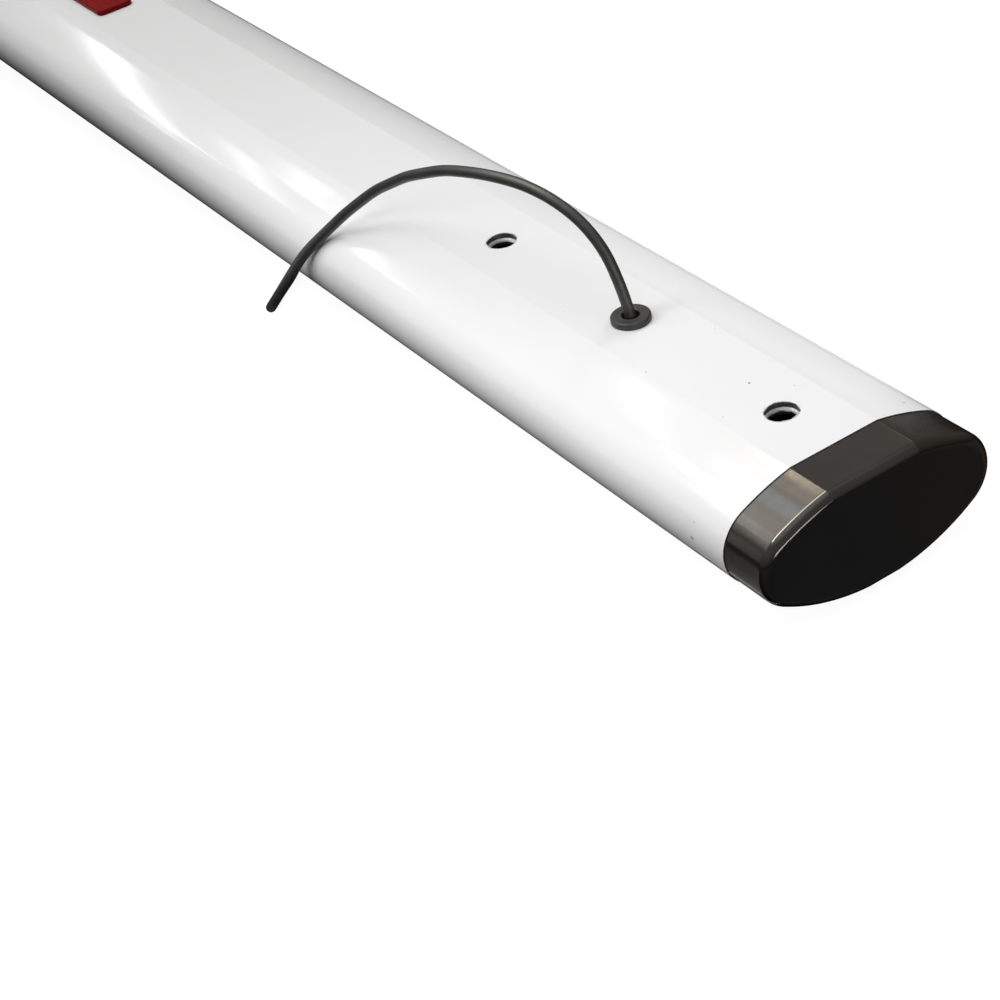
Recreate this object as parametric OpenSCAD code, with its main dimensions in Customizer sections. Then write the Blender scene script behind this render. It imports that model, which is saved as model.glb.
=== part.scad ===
// Barrier boom arm, mounting end at the origin.
// +X runs along the boom from the mounting end to the tip, +Z points out of
// the flat mounting face. The origin is the middle of the two mounting bolt
// holes, on the flat face. All lengths are in millimetres.

/* [Boom tube] */
// Length of the aluminium tube without its end caps
tube_len = 3000; // [2900:100:4000]
// Width of the section, over both rounded edges
tube_w = 90; // [86:1:96]
// Height of the section, from the flat face to the rest face
tube_h = 43; // [41:1:46]
// Width of the flat face
facet_w = 34; // [32:1:38]
// Radius of the two shoulders beside the flat face
shoulder_r = 88; // [80:1:100]
// Radius of the two rounded edges
edge_r = 15; // [14:0.5:16]
// Wall thickness of the tube
tube_wall = 2; // [1.6:0.1:2.2]

/* [Mounting] */
// Distance between the two bolt holes
bolt_pitch = 160; // [140:5:170]
// Diameter of the bolt holes, clearance for M10
bolt_d = 11; // [9:0.5:12]
// Distance from the first bolt hole to the end of the tube
bolt_end = 25; // [25:1:40]
// Length of the stiffener inside the mounting end
stiff_len = 230; // [220:5:280]
// Width of the stiffener
stiff_w = 33; // [30:1:33]
// Wall thickness of the stiffener
stiff_wall = 2.5; // [2:0.25:3]

/* [End caps] */
// How far each cap stands out of the tube
cap_len = 20; // [16:1:26]
// Radius of the cap's outer edge
cap_edge_r = 4; // [3:0.5:5]
// Wall thickness of the caps
cap_wall = 2.8; // [2.4:0.1:3.2]
// How far the caps' spring tongues reach into the tube
tongue_len = 22; // [16:1:26]

/* [Grommet and cable] */
// Diameter of the grommet's flanges
grommet_d = 14; // [13:0.5:16]
// Diameter of the grommet's bore
grommet_bore = 6; // [5:0.25:7]
// Height of the grommet's upper flange
grommet_h = 2.4; // [1.8:0.2:3]
// Diameter of the cable
cable_d = 4; // [3.5:0.1:4]

/* [Marker lamps] */
// Number of lamps along the flat face
lamp_count = 5; // [1:1:5]
// Distance from the origin to the near end of the first lamp
lamp_start = 401; // [390:1:440]
// Distance from lamp to lamp
lamp_pitch = 500; // [300:25:550]
// Length of a lamp lens
lens_len = 130; // [110:5:150]
// Width of a lamp lens
lens_w = 17.5; // [16:0.5:19]
// Height of a lamp lens above its gasket
lens_h = 2; // [2:0.2:3]
// Sideways place of the lamps on the flat face
lamp_y = 2; // [-2:0.5:3]
// Number of light-emitting diodes in a lamp
led_count = 6; // [3:1:8]

/* [Hidden] */
$fn = 96;

// ---- section of the boom: two shoulder arcs, two edge arcs, one back arc ----
yc = tube_w / 2 - edge_r;                 // centre of an edge arc, sideways
ct = sqrt(pow(shoulder_r, 2) - pow(facet_w / 2, 2));
zs = -ct;                                 // centre height of the shoulder arcs
zc = zs + sqrt(pow(shoulder_r - edge_r, 2) - yc * yc);  // centre height of the edge arcs
flat_sag = 0.25;                          // depth of the narrow rest flat
dd = tube_h + flat_sag + zc;
back_r = (yc * yc + dd * dd - edge_r * edge_r) / (2 * (dd - edge_r));
zb = back_r - tube_h - flat_sag;          // centre height of the back arc
a_top = atan2(yc, zc - zs);               // where shoulder and edge arcs meet
a_bot = atan2(yc, zb - zc);               // where back and edge arcs meet
x_end = -bolt_pitch / 2 - bolt_end;       // mounting end of the tube
x_tip = x_end + tube_len;                 // tip end of the tube

// outline of the section, set inwards by t, as one polygon of short steps
function arc(cy, cz, r, a0, a1, n) =
    [for (i = [0:n]) let (a = a0 + (a1 - a0) * i / n) [cy + r * sin(a), cz + r * cos(a)]];
function half_outline(t) =
    let (r1 = shoulder_r - t, r2 = back_r - t, r3 = edge_r - t,
         a0 = acos((-t - zs) / r1),
         a9 = acos((tube_h - t + zb) / r2))
    concat(arc(0, zs, r1, a0, a_top, 5),
           [for (p = arc(yc, zc, r3, a_top, 180 - a_bot, 20)) p],
           [for (p = arc(0, zb, r2, 180 - a_bot, 180 - a9, 9)) p]);
function thin(pts) = [for (i = [0:len(pts) - 1])
    if (i == 0 || norm(pts[i] - pts[i - 1]) > 0.01) pts[i]];
function outline(t) =
    let (h = thin(half_outline(t)), n = len(h))
    concat(h, [for (i = [n - 1:-1:0]) [-h[i][0], h[i][1]]]);

// a bar of the section from x0 to x1
module bar(t, x0, x1) {
    translate([x0, 0, 0]) rotate([90, 0, 90])
        linear_extrude(height = x1 - x0) polygon(outline(t));
}
// a cylinder along Z through both walls at x
module drill(x, y, d, z0, z1) {
    translate([x, y, z0]) cylinder(d = d, h = z1 - z0);
}
// a flat bar with round corners, standing on z0
module rounded(l, w, h, r) {
    linear_extrude(height = h) {
        square([l - 2 * r, w], center = true);
        square([l, w - 2 * r], center = true);
        for (sx = [-1, 1], sy = [-1, 1])
            translate([sx * (l / 2 - r), sy * (w / 2 - r)]) circle(r = r, $fn = 48);
    }
}
function lamp_x(i) = lamp_start + lens_len / 2 + i * lamp_pitch;

// ---- cable sweep ----
function cr(p, i, t) =
    let (n = len(p) - 1, a = p[max(i - 1, 0)], b = p[i], c = p[min(i + 1, n)], d = p[min(i + 2, n)])
    0.5 * ((2 * b) + (c - a) * t + (2 * a - 5 * b + 4 * c - d) * t * t
        + (3 * b - a - 3 * c + d) * t * t * t);
function smooth(p, k) = concat(
    [for (i = [0:len(p) - 2], j = [0:k[i] - 1]) cr(p, i, j / k[i])], [p[len(p) - 1]]);
function unit(v) = v / norm(v);
// a tube of radius r along points p; ref is a direction that no stretch follows
module tube_along(p, r, ref, sides, t_first, t_last) {
    n = len(p);
    rings = [for (i = [0:n - 1])
        let (t = i == 0 ? unit(t_first) : i == n - 1 ? unit(t_last) : unit(p[i + 1] - p[i - 1]),
             a = unit(cross(t, ref)), b = cross(t, a))
        [for (k = [0:sides - 1]) p[i] + r * (cos(360 * k / sides) * a + sin(360 * k / sides) * b)]];
    pts = [for (g = rings, q = g) q];
    faces = concat(
        [for (i = [0:n - 2], k = [0:sides - 1])
            let (k2 = (k + 1) % sides)
            [i * sides + k, i * sides + k2, (i + 1) * sides + k2, (i + 1) * sides + k]],
        [[for (k = [sides - 1:-1:0]) k]],
        [[for (k = [0:sides - 1]) (n - 1) * sides + k]]);
    polyhedron(points = pts, faces = faces, convexity = 8);
}

// ---- cable route: up out of the grommet, over the near edge, under the back ----
floor_z = -tube_h;
cz = floor_z + cable_d / 2;
route = [[0, 0, 0], [1, 0.2, 6], [3, 1, 15], [7, 2, 25], [14.5, 4.3, 34], [25, 7.5, 40], [37, 11, 43],
         [50, 15, 43.5], [62.5, 18, 42], [75, 20, 39], [87, 22, 34.5], [98.5, 23, 29.5],
         [109.5, 24, 23.5], [120, 25.5, 17.5], [129.5, 28.5, 10.5], [137.5, 32.7, 3.7],
         [144, 38.7, -3.6], [147.6, 43.3, -8.2], [150.2, 47.5, -12.5], [153, 53, -19.5],
         [157, 57.5, -27], [163.5, 59, -34.3], [170.5, 56.5, -38.6], [177, 51.5, -40.5], [183, 45, cz],
         [188, 39, cz], [195, 32, cz], [204.5, 28, cz], [213, 27.5, cz], [222, 27.5, cz],
         [240, 27.5, cz], [275, 27.5, cz], [320, 27.5, cz], [375, 27.5, cz], [425, 27.5, cz],
         [465, 27.5, cz], [486, 27.6, cz], [500, 28.8, cz], [513, 32, cz], [525, 36.8, cz],
         [537, 42.6, cz], [548, 48.2, cz + 0.3], [560, 52, cz + 1]];
route_k = [for (i = [0:len(route) - 2]) let (d = norm(route[i + 1] - route[i])) d > 12 && d < 30 ? 2 : 1];
coil_c = [560, 78];
tie_t = 1;
coil_z = floor_z + tie_t;
tail = [[560, 56, coil_z + 10], [577, 56, coil_z + 10.2], [592, 57, coil_z + 7.8],
        [603, 58, coil_z + 6.1], [612, 58, coil_z + 6]];
plug_x = 612;
plug_y = 58;
plug_z = coil_z + 6;

// ---- inner lead route ----
lead_y = 10;
lead_z = -34.3;
lead_x1 = lamp_x(lamp_count - 1) + 22;
lead = [[0, 0, 0], [0, 0, -14], [1.5, 0.8, -20], [6, 3, -26.5], [14, 6.5, -31.5], [24, 9, -33.8],
        [36, lead_y, lead_z], [60, lead_y, lead_z], [lead_x1, lead_y, lead_z]];
lead_k = [1, 2, 2, 2, 2, 2, 1, 1];

// ================= sub-parts =================

module boom_tube() color([0.93, 0.93, 0.92]) {
    difference() {
        bar(0, x_end, x_tip);
        bar(tube_wall, x_end - 1, x_tip + 1);
        for (s = [-1, 1]) drill(s * bolt_pitch / 2, 0, bolt_d, -tube_h - 1, 1);
        drill(0, 0, 10, -10, 1);
        for (i = [0:lamp_count - 1]) drill(lamp_x(i), lamp_y, 6, -10, 1);
    }
}

stiff_z1 = -tube_wall;
stiff_h = tube_h - 2 * tube_wall - 2;
module mount_stiffener() color([0.6, 0.61, 0.62]) {
    difference() {
        translate([x_end + 4, 0, stiff_z1 - stiff_h / 2]) rotate([90, 0, 90])
            rounded(stiff_w, stiff_h, stiff_len, 2);
        translate([x_end + 3, 0, stiff_z1 - stiff_h / 2]) rotate([90, 0, 90])
            rounded(stiff_w - 2 * stiff_wall, stiff_h - 2 * stiff_wall, stiff_len + 2, 1);
        for (s = [-1, 1]) drill(s * bolt_pitch / 2, 0, bolt_d, -tube_h, 0);
        drill(0, 0, 10, -12, 0);
    }
}

// one moulded plug; x = 0 is the tube's end, +x is outwards
module end_cap() {
    e = cap_edge_r;
    difference() {
        hull() {
            bar(0.3, 0.1, cap_len - e);
            for (a = [18, 36, 54, 72, 90])
                bar(0.3 + e * (1 - cos(a)), cap_len - e, cap_len - e + e * sin(a));
        }
        bar(cap_wall, -1, cap_len - cap_wall);
    }
    // two tongues that hug the inside of the rounded edges
    for (s = [-1, 1]) intersection() {
        difference() {
            bar(tube_wall + 0.3, -tongue_len, 1.5);
            bar(tube_wall + 2.3, -tongue_len - 1, 2.5);
        }
        translate([-tongue_len - 1, s > 0 ? yc + 1 : -yc - 30, -60]) cube([tongue_len + 3, 29, 70]);
    }
    // a rib across the inside of the end face
    for (y = [-14, 14]) translate([cap_len - cap_wall - 6, y - 0.8, -36]) cube([7, 1.6, 32]);
}
module mount_end_cap() color([0.1, 0.095, 0.09])
    translate([x_end, 0, 0]) mirror([1, 0, 0]) end_cap();
module tip_end_cap() color([0.1, 0.095, 0.09])
    translate([x_tip, 0, 0]) end_cap();

grip = tube_wall + stiff_wall;
module cable_grommet() color([0.12, 0.12, 0.12])
    rotate_extrude()
        difference() {
            union() {
                translate([0, -grip]) square([4.95, grip]);
                square([grommet_d / 2, grommet_h - 0.8]);
                square([grommet_d / 2 - 0.8, grommet_h]);
                translate([grommet_d / 2 - 0.8, grommet_h - 0.8]) circle(r = 0.8, $fn = 32);
                translate([0, -grip - 2]) square([grommet_d / 2 - 0.5, 2]);
            }
            translate([-1, -20]) square([grommet_bore / 2 + 1, 40]);
        }

module light_cable() color([0.08, 0.08, 0.08])
    tube_along(smooth(route, route_k), cable_d / 2, [0.14, 0.88, 0.45], 8, [0, 0, 1], [1, 0, 0]);

module light_cable_coil() color([0.08, 0.08, 0.08])
    translate([coil_c[0], coil_c[1], coil_z]) rotate_extrude() {
        translate([4 * cable_d, 0]) square([3 * cable_d, 2 * cable_d]);
        translate([5 * cable_d, 0]) square([cable_d, 3 * cable_d]);
    }

module light_cable_tail() color([0.08, 0.08, 0.08])
    tube_along(smooth(tail, [2, 2, 1, 1]), cable_d / 2, [0, 1, 0], 8, [1, 0, 0], [1, 0, 0]);

module coil_ties() color([0.05, 0.05, 0.05])
    for (a = [60, 180]) translate([coil_c[0], coil_c[1], coil_z]) rotate([0, 0, a]) {
        rotate_extrude(angle = 11) difference() {
            translate([4 * cable_d - tie_t, -tie_t])
                square([3 * cable_d + 2 * tie_t, 3 * cable_d + 2 * tie_t]);
            translate([4 * cable_d, 0]) square([3 * cable_d, 3 * cable_d]);
        }
        translate([5.5 * cable_d, 0.3, 3 * cable_d + tie_t])
            cube([6, 4, 3]);
    }

// ---- plug on the cable's free end, lying along X ----
module along_plug(x) { translate([plug_x + x, plug_y, plug_z]) rotate([0, 90, 0]) children(); }
module plug_boot() color([0.09, 0.09, 0.09])
    along_plug(0) rotate_extrude()
        difference() {
            polygon([[0, 0], [3, 0], [5, 16], [5, 18], [0, 18]]);
            for (z = [4, 7, 10, 13]) translate([2.6 + z / 8, z]) square([3, 1.2]);
        }
module plug_shell() color([0.13, 0.13, 0.13])
    along_plug(18) rotate_extrude() {
        square([6.8, 3.6]);
        translate([0, 3.6]) square([5.9, 7]);
        translate([4.6, 10.6]) square([1.3, 13]);
        translate([4.6, 23.6]) square([1.7, 1]);
    }
module plug_insert() color([0.75, 0.74, 0.7])
    along_plug(28.6) difference() {
        cylinder(r = 4.5, h = 4);
        for (s = [-1, 1]) translate([0, 2 * s, -1]) cylinder(r = 0.85, h = 6, $fn = 32);
    }
module plug_pins() color([0.85, 0.7, 0.35])
    along_plug(28.7) for (s = [-1, 1]) translate([0, 2 * s, 0]) {
        cylinder(r = 0.8, h = 11, $fn = 32);
        translate([0, 0, 11]) sphere(r = 0.8, $fn = 32);
    }
module plug_seal() color([0.75, 0.2, 0.1])
    along_plug(33.6) rotate_extrude() translate([3.7, 0]) circle(r = 0.8, $fn = 32);
module plug_nut() color([0.16, 0.16, 0.16])
    along_plug(22) difference() {
        rotate_extrude() {
            translate([6, 0]) square([1, 18]);
        }
        for (k = [0:23]) rotate([0, 0, 15 * k + 7.5]) translate([7.25, 0, 2.5])
            cylinder(r = 0.5, h = 13, $fn = 24);
    }

// ---- wiring inside the boom ----
module inner_lead() color([0.1, 0.1, 0.1])
    tube_along(smooth(lead, lead_k), cable_d / 2, [-0.35, 0.94, 0], 8, [0, 0, -1], [1, 0, 0]);

module lead_stop_tie() color([0.85, 0.85, 0.82])
    translate([0, 0, -12.4]) {
        difference() {
            cylinder(r = 3.4, h = 3.6, $fn = 48);
            translate([0, 0, -1]) cylinder(r = cable_d / 2 + 0.02, h = 6, $fn = 48);
        }
        translate([-5.6, -2.4, 0]) difference() {
            cube([4.6, 4.8, 3.6]);
            translate([5.6, 2.4, -1]) cylinder(r = 3.38, h = 6, $fn = 48);
        }
    }

// a saddle that is glued to the back wall and holds the lead
clip_a = atan2(lead_y, zb - lead_z);
clip_d = norm([lead_y, zb - lead_z]);
clip_x = [180, 340, 700, 840, 1200, 1340, 1700, 1840, 2200, 2340];
module wire_clips() color([0.9, 0.9, 0.88])
    for (x = clip_x) if (x < lead_x1 - 30)
        translate([x, 0, zb]) rotate([clip_a, 0, 0]) difference() {
            union() {
                translate([-6, -5, -(back_r - tube_wall) + 0.25]) cube([12, 10, 2.2]);
                translate([-4, -3.4, -(back_r - tube_wall) + 2]) cube([8, 6.8, back_r - tube_wall - 2 - clip_d]);
                translate([-4, 0, -clip_d]) rotate([0, 90, 0]) cylinder(r = 3.4, h = 8, $fn = 48);
            }
            translate([-10, 0, -clip_d]) rotate([0, 90, 0])
                cylinder(r = cable_d / 2 + 0.03, h = 20, $fn = 48);
            translate([-10, -1.2, -clip_d]) cube([20, 2.4, 6]);
        }

module wire_splices() color([0.25, 0.3, 0.35])
    for (i = [0:lamp_count - 1]) translate([lamp_x(i), lead_y, lead_z]) difference() {
        union() {
            translate([-13, 0, 0]) rotate([0, 90, 0]) cylinder(r = 4.6, h = 26, $fn = 48);
            cylinder(r = 2.2, h = 6.5, $fn = 32);
        }
        translate([-14, 0, 0]) rotate([0, 90, 0])
            cylinder(r = cable_d / 2 + 0.03, h = 28, $fn = 48);
    }

module lamp_leads() color([0.5, 0.08, 0.08])
    for (i = [0:lamp_count - 1]) let (x = lamp_x(i))
        tube_along(smooth([[x, lamp_y, -0.02], [x, lamp_y, -7], [x, lamp_y + 0.6, -11],
                           [x, lamp_y + 3, -16], [x, lead_y - 1.5, -21], [x, lead_y, -25],
                           [x, lead_y, lead_z + 6.52]], [1, 1, 1, 1, 1, 1]),
                   1.1, [1, 0, 0], 8, [0, 0, -1], [0, 0, -1]);

// ---- marker lamps on the flat face ----
gasket_h = 0.4;
rim = 1.6;
module lamp_gaskets() color([0.12, 0.12, 0.12])
    for (i = [0:lamp_count - 1]) translate([lamp_x(i), lamp_y, 0]) difference() {
        rounded(lens_len - 0.6, lens_w - 0.6, gasket_h, 2.7);
        translate([0, 0, -1]) rounded(lens_len - 2 * rim, lens_w - 2 * rim, 3, 1.6);
    }
module lamp_lenses() color([0.5, 0.05, 0.05])
    for (i = [0:lamp_count - 1]) translate([lamp_x(i), lamp_y, gasket_h]) difference() {
        union() {
            rounded(lens_len, lens_w, lens_h - 0.4, 3);
            rounded(lens_len - 0.8, lens_w - 0.8, lens_h, 2.6);
        }
        translate([0, 0, -1]) rounded(lens_len - 2 * rim, lens_w - 2 * rim, lens_h, 1.6);
    }
module lamp_boards() color([0.9, 0.9, 0.86])
    for (i = [0:lamp_count - 1]) translate([lamp_x(i), lamp_y, 0])
        rounded(lens_len - 10, 10, 0.3, 0.6);
module lamp_leds() color([0.95, 0.9, 0.6])
    for (i = [0:lamp_count - 1], k = [0:led_count - 1])
        translate([lamp_x(i) + (k - (led_count - 1) / 2) * (lens_len - 20) / led_count, lamp_y, 0.3])
            translate([-1.75, -1.4, 0]) cube([3.5, 2.8, 0.8]);
module lamp_resistors() color([0.1, 0.1, 0.1])
    for (i = [0:lamp_count - 1], s = [-1, 1])
        translate([lamp_x(i) + s * (lens_len / 2 - 9), lamp_y, 0.3])
            translate([-1.6, -0.8, 0]) cube([3.2, 1.6, 0.55]);

boom_tube();
mount_stiffener();
mount_end_cap();
tip_end_cap();
cable_grommet();
light_cable();
light_cable_coil();
light_cable_tail();
coil_ties();
plug_boot();
plug_shell();
plug_insert();
plug_pins();
plug_seal();
plug_nut();
inner_lead();
lead_stop_tie();
wire_clips();
lamp_leads();
wire_splices();
lamp_gaskets();
lamp_lenses();
lamp_boards();
lamp_leds();
lamp_resistors();
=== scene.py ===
import math
import random

import bpy
import numpy as np
from mathutils import Matrix, Vector, geometry, noise


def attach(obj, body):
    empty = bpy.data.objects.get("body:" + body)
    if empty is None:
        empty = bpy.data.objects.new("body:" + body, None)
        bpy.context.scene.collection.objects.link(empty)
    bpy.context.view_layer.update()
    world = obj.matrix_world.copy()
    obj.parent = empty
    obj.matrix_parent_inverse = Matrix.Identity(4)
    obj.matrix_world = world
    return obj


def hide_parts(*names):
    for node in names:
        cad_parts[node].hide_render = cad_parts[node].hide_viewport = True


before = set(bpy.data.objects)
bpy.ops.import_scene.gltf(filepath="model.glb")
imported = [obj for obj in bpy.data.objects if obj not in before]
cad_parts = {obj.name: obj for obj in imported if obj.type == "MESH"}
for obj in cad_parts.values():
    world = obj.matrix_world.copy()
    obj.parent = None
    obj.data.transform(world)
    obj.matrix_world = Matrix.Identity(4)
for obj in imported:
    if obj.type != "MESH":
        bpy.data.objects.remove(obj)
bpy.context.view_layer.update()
scene = bpy.context.scene
MM = 0.001

# ------------------------------------------------------------------ camera
C = (-0.5867496, 0.3558781, 0.4157709)
ROWS = ((-0.5421004275764046, -0.8238455637090785, -0.16554640913758906),
        (-0.4103196583317383, 0.4314391566277008, -0.8034289216320906),
        (0.7333245559832324, -0.36761221590862425, -0.5719233815003074))
cam_data = bpy.data.cameras.new("camera")
cam = bpy.data.objects.new("camera", cam_data)
scene.collection.objects.link(cam)
scene.camera = cam
cam_data.lens = 85.958
cam_data.sensor_width = 36.0
cam_data.clip_start, cam_data.clip_end = 0.02, 200.0
m = Matrix.Identity(4)
for i in range(3):
    m[i][0], m[i][1], m[i][2], m[i][3] = ROWS[0][i], -ROWS[1][i], -ROWS[2][i], C[i]
cam.matrix_world = m


# ------------------------------------------------------------------ small tools
def lerp(a, b, t):
    return a + (b - a) * t


def smooth(t):
    t = min(1.0, max(0.0, t))
    return t * t * (3 - 2 * t)


def unit(v):
    n = math.sqrt(sum(c * c for c in v)) or 1.0
    return tuple(c / n for c in v)


def newell(pts):
    n = [0.0, 0.0, 0.0]
    for i in range(len(pts)):
        a, b = pts[i - 1], pts[i]
        n[0] += (a[1] - b[1]) * (a[2] + b[2])
        n[1] += (a[2] - b[2]) * (a[0] + b[0])
        n[2] += (a[0] - b[0]) * (a[1] + b[1])
    return unit(n)


class Shape:
    """Collects faces in millimetres, with a normal for each corner, and joins their points."""

    def __init__(self):
        self.v, self.key, self.f, self.n, self.m = [], {}, [], [], []

    def vid(self, p):
        k = (round(p[0], 4), round(p[1], 4), round(p[2], 4))
        if k not in self.key:
            self.key[k] = len(self.v)
            self.v.append((p[0] * MM, p[1] * MM, p[2] * MM))
        return self.key[k]

    def face(self, pts, nrm=None, mat=0):
        ids = [self.vid(p) for p in pts]
        keep = [i for i in range(len(ids)) if ids[i] != ids[i - 1]]
        if len(keep) < 3 or len(set(ids[i] for i in keep)) < len(keep):
            return
        if nrm is None:
            n = newell([pts[i] for i in keep])
            nn = [n] * len(keep)
        else:
            nn = [nrm[i] for i in keep]
            g = newell([pts[i] for i in keep])
            s = sum(g[k] * sum(q[k] for q in nn) for k in range(3))
            if s < 0:
                keep, nn = keep[::-1], nn[::-1]
        self.f.append([ids[i] for i in keep])
        self.n.append(nn)
        self.m.append(mat)

    def build(self, name, mats, body, slot=None, replaces=(), auto=None):
        me = bpy.data.meshes.new(name)
        me.from_pydata(self.v, [], self.f)
        for x in mats:
            me.materials.append(x)
        me.polygons.foreach_set("material_index", self.m)
        me.polygons.foreach_set("use_smooth", [True] * len(self.f))
        me.update()
        if auto is None:
            me.normals_split_custom_set([c for nn in self.n for c in nn])
        else:
            me.set_sharp_from_angle(angle=math.radians(auto))
        o = bpy.data.objects.new(name, me)
        scene.collection.objects.link(o)
        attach(o, body)
        if replaces:
            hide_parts(*replaces)
        return o


def round_corners(pts, closed=False, n=6):
    """pts are (a, b, radius); corners get arcs of that radius."""
    out = []
    N = len(pts)
    for i, (a, b, r) in enumerate(pts):
        if r <= 0 or (not closed and i in (0, N - 1)):
            out.append((a, b))
            continue
        p, q, s = Vector(pts[i - 1][:2]), Vector((a, b)), Vector(pts[(i + 1) % N][:2])
        u, w = (p - q).normalized(), (s - q).normalized()
        ang = math.acos(max(-1.0, min(1.0, u.dot(w))))
        if ang > math.pi - 1e-3:
            out.append((a, b))
            continue
        d = min(r / math.tan(ang / 2), 0.49 * (p - q).length, 0.49 * (s - q).length)
        rr = d * math.tan(ang / 2)
        c = q + (u + w).normalized() * (rr / math.sin(ang / 2))
        s0, s1 = q + u * d - c, q + w * d - c
        a0 = math.atan2(s0.y, s0.x)
        da = math.atan2(s1.y, s1.x) - a0
        da = (da + math.pi) % (2 * math.pi) - math.pi
        for k in range(n + 1):
            t = a0 + da * k / n
            out.append((c.x + rr * math.cos(t), c.y + rr * math.sin(t)))
    return out


def seg_normals(pts, closed, sharp=38.0):
    """For each segment of a profile, the left-hand normals at its two ends."""
    n = len(pts)
    m_ = n if closed else n - 1
    seg = []
    for i in range(m_):
        a, b = pts[i], pts[(i + 1) % n]
        d = math.hypot(b[0] - a[0], b[1] - a[1]) or 1.0
        seg.append(((b[1] - a[1]) / d, -(b[0] - a[0]) / d, d))
    cs = math.cos(math.radians(sharp))
    res = []
    for i in range(m_):
        ends = []
        for j in (i - 1, i + 1):
            s = seg[i]
            if closed or 0 <= j < m_:
                t = seg[j % m_]
                if s[0] * t[0] + s[1] * t[1] > cs:
                    ws, wt = t[2], s[2]
                    v = (s[0] * ws + t[0] * wt, s[1] * ws + t[1] * wt)
                    d = math.hypot(*v) or 1.0
                    ends.append((v[0] / d, v[1] / d))
                    continue
            ends.append((s[0], s[1]))
        res.append(tuple(ends))
    return res


def lathe(sh, prof, place, seg=64, mat=0, closed=True, wob=None, sharp=38.0, mats=None):
    """Turns a profile of (radius, height) round an axis; place maps (u, v, h) to the part's millimetres."""
    nrm = seg_normals(prof, closed, sharp)
    m_ = len(prof) if closed else len(prof) - 1
    o = place(0, 0, 0)

    def direction(u, v, h):
        p = place(u, v, h)
        return unit((p[0] - o[0], p[1] - o[1], p[2] - o[2]))

    for i in range(m_):
        (r0, h0), (r1, h1) = prof[i], prof[(i + 1) % len(prof)]
        (na, nb) = nrm[i]
        for k in range(seg):
            t0, t1 = 2 * math.pi * k / seg, 2 * math.pi * ((k + 1) % seg) / seg
            w0 = wob(i, k) if wob else 0.0
            w1 = wob(i, (k + 1) % seg) if wob else 0.0
            w2 = wob((i + 1) % len(prof), k) if wob else 0.0
            w3 = wob((i + 1) % len(prof), (k + 1) % seg) if wob else 0.0
            c0, s0, c1, s1 = math.cos(t0), math.sin(t0), math.cos(t1), math.sin(t1)
            pts = [place((r0 + w0) * c0, (r0 + w0) * s0, h0), place((r0 + w1) * c1, (r0 + w1) * s1, h0),
                   place((r1 + w3) * c1, (r1 + w3) * s1, h1), place((r1 + w2) * c0, (r1 + w2) * s0, h1)]
            nn = [direction(na[0] * c0, na[0] * s0, na[1]), direction(na[0] * c1, na[0] * s1, na[1]),
                  direction(nb[0] * c1, nb[0] * s1, nb[1]), direction(nb[0] * c0, nb[0] * s0, nb[1])]
            sh.face(pts, nn, mats[i] if mats else mat)


def up_at(x, y, z):
    return lambda u, v, h: (x + u, y + v, z + h)


def along_x(x, y, z):
    return lambda u, v, h: (x + h, y + u, z + v)


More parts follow.
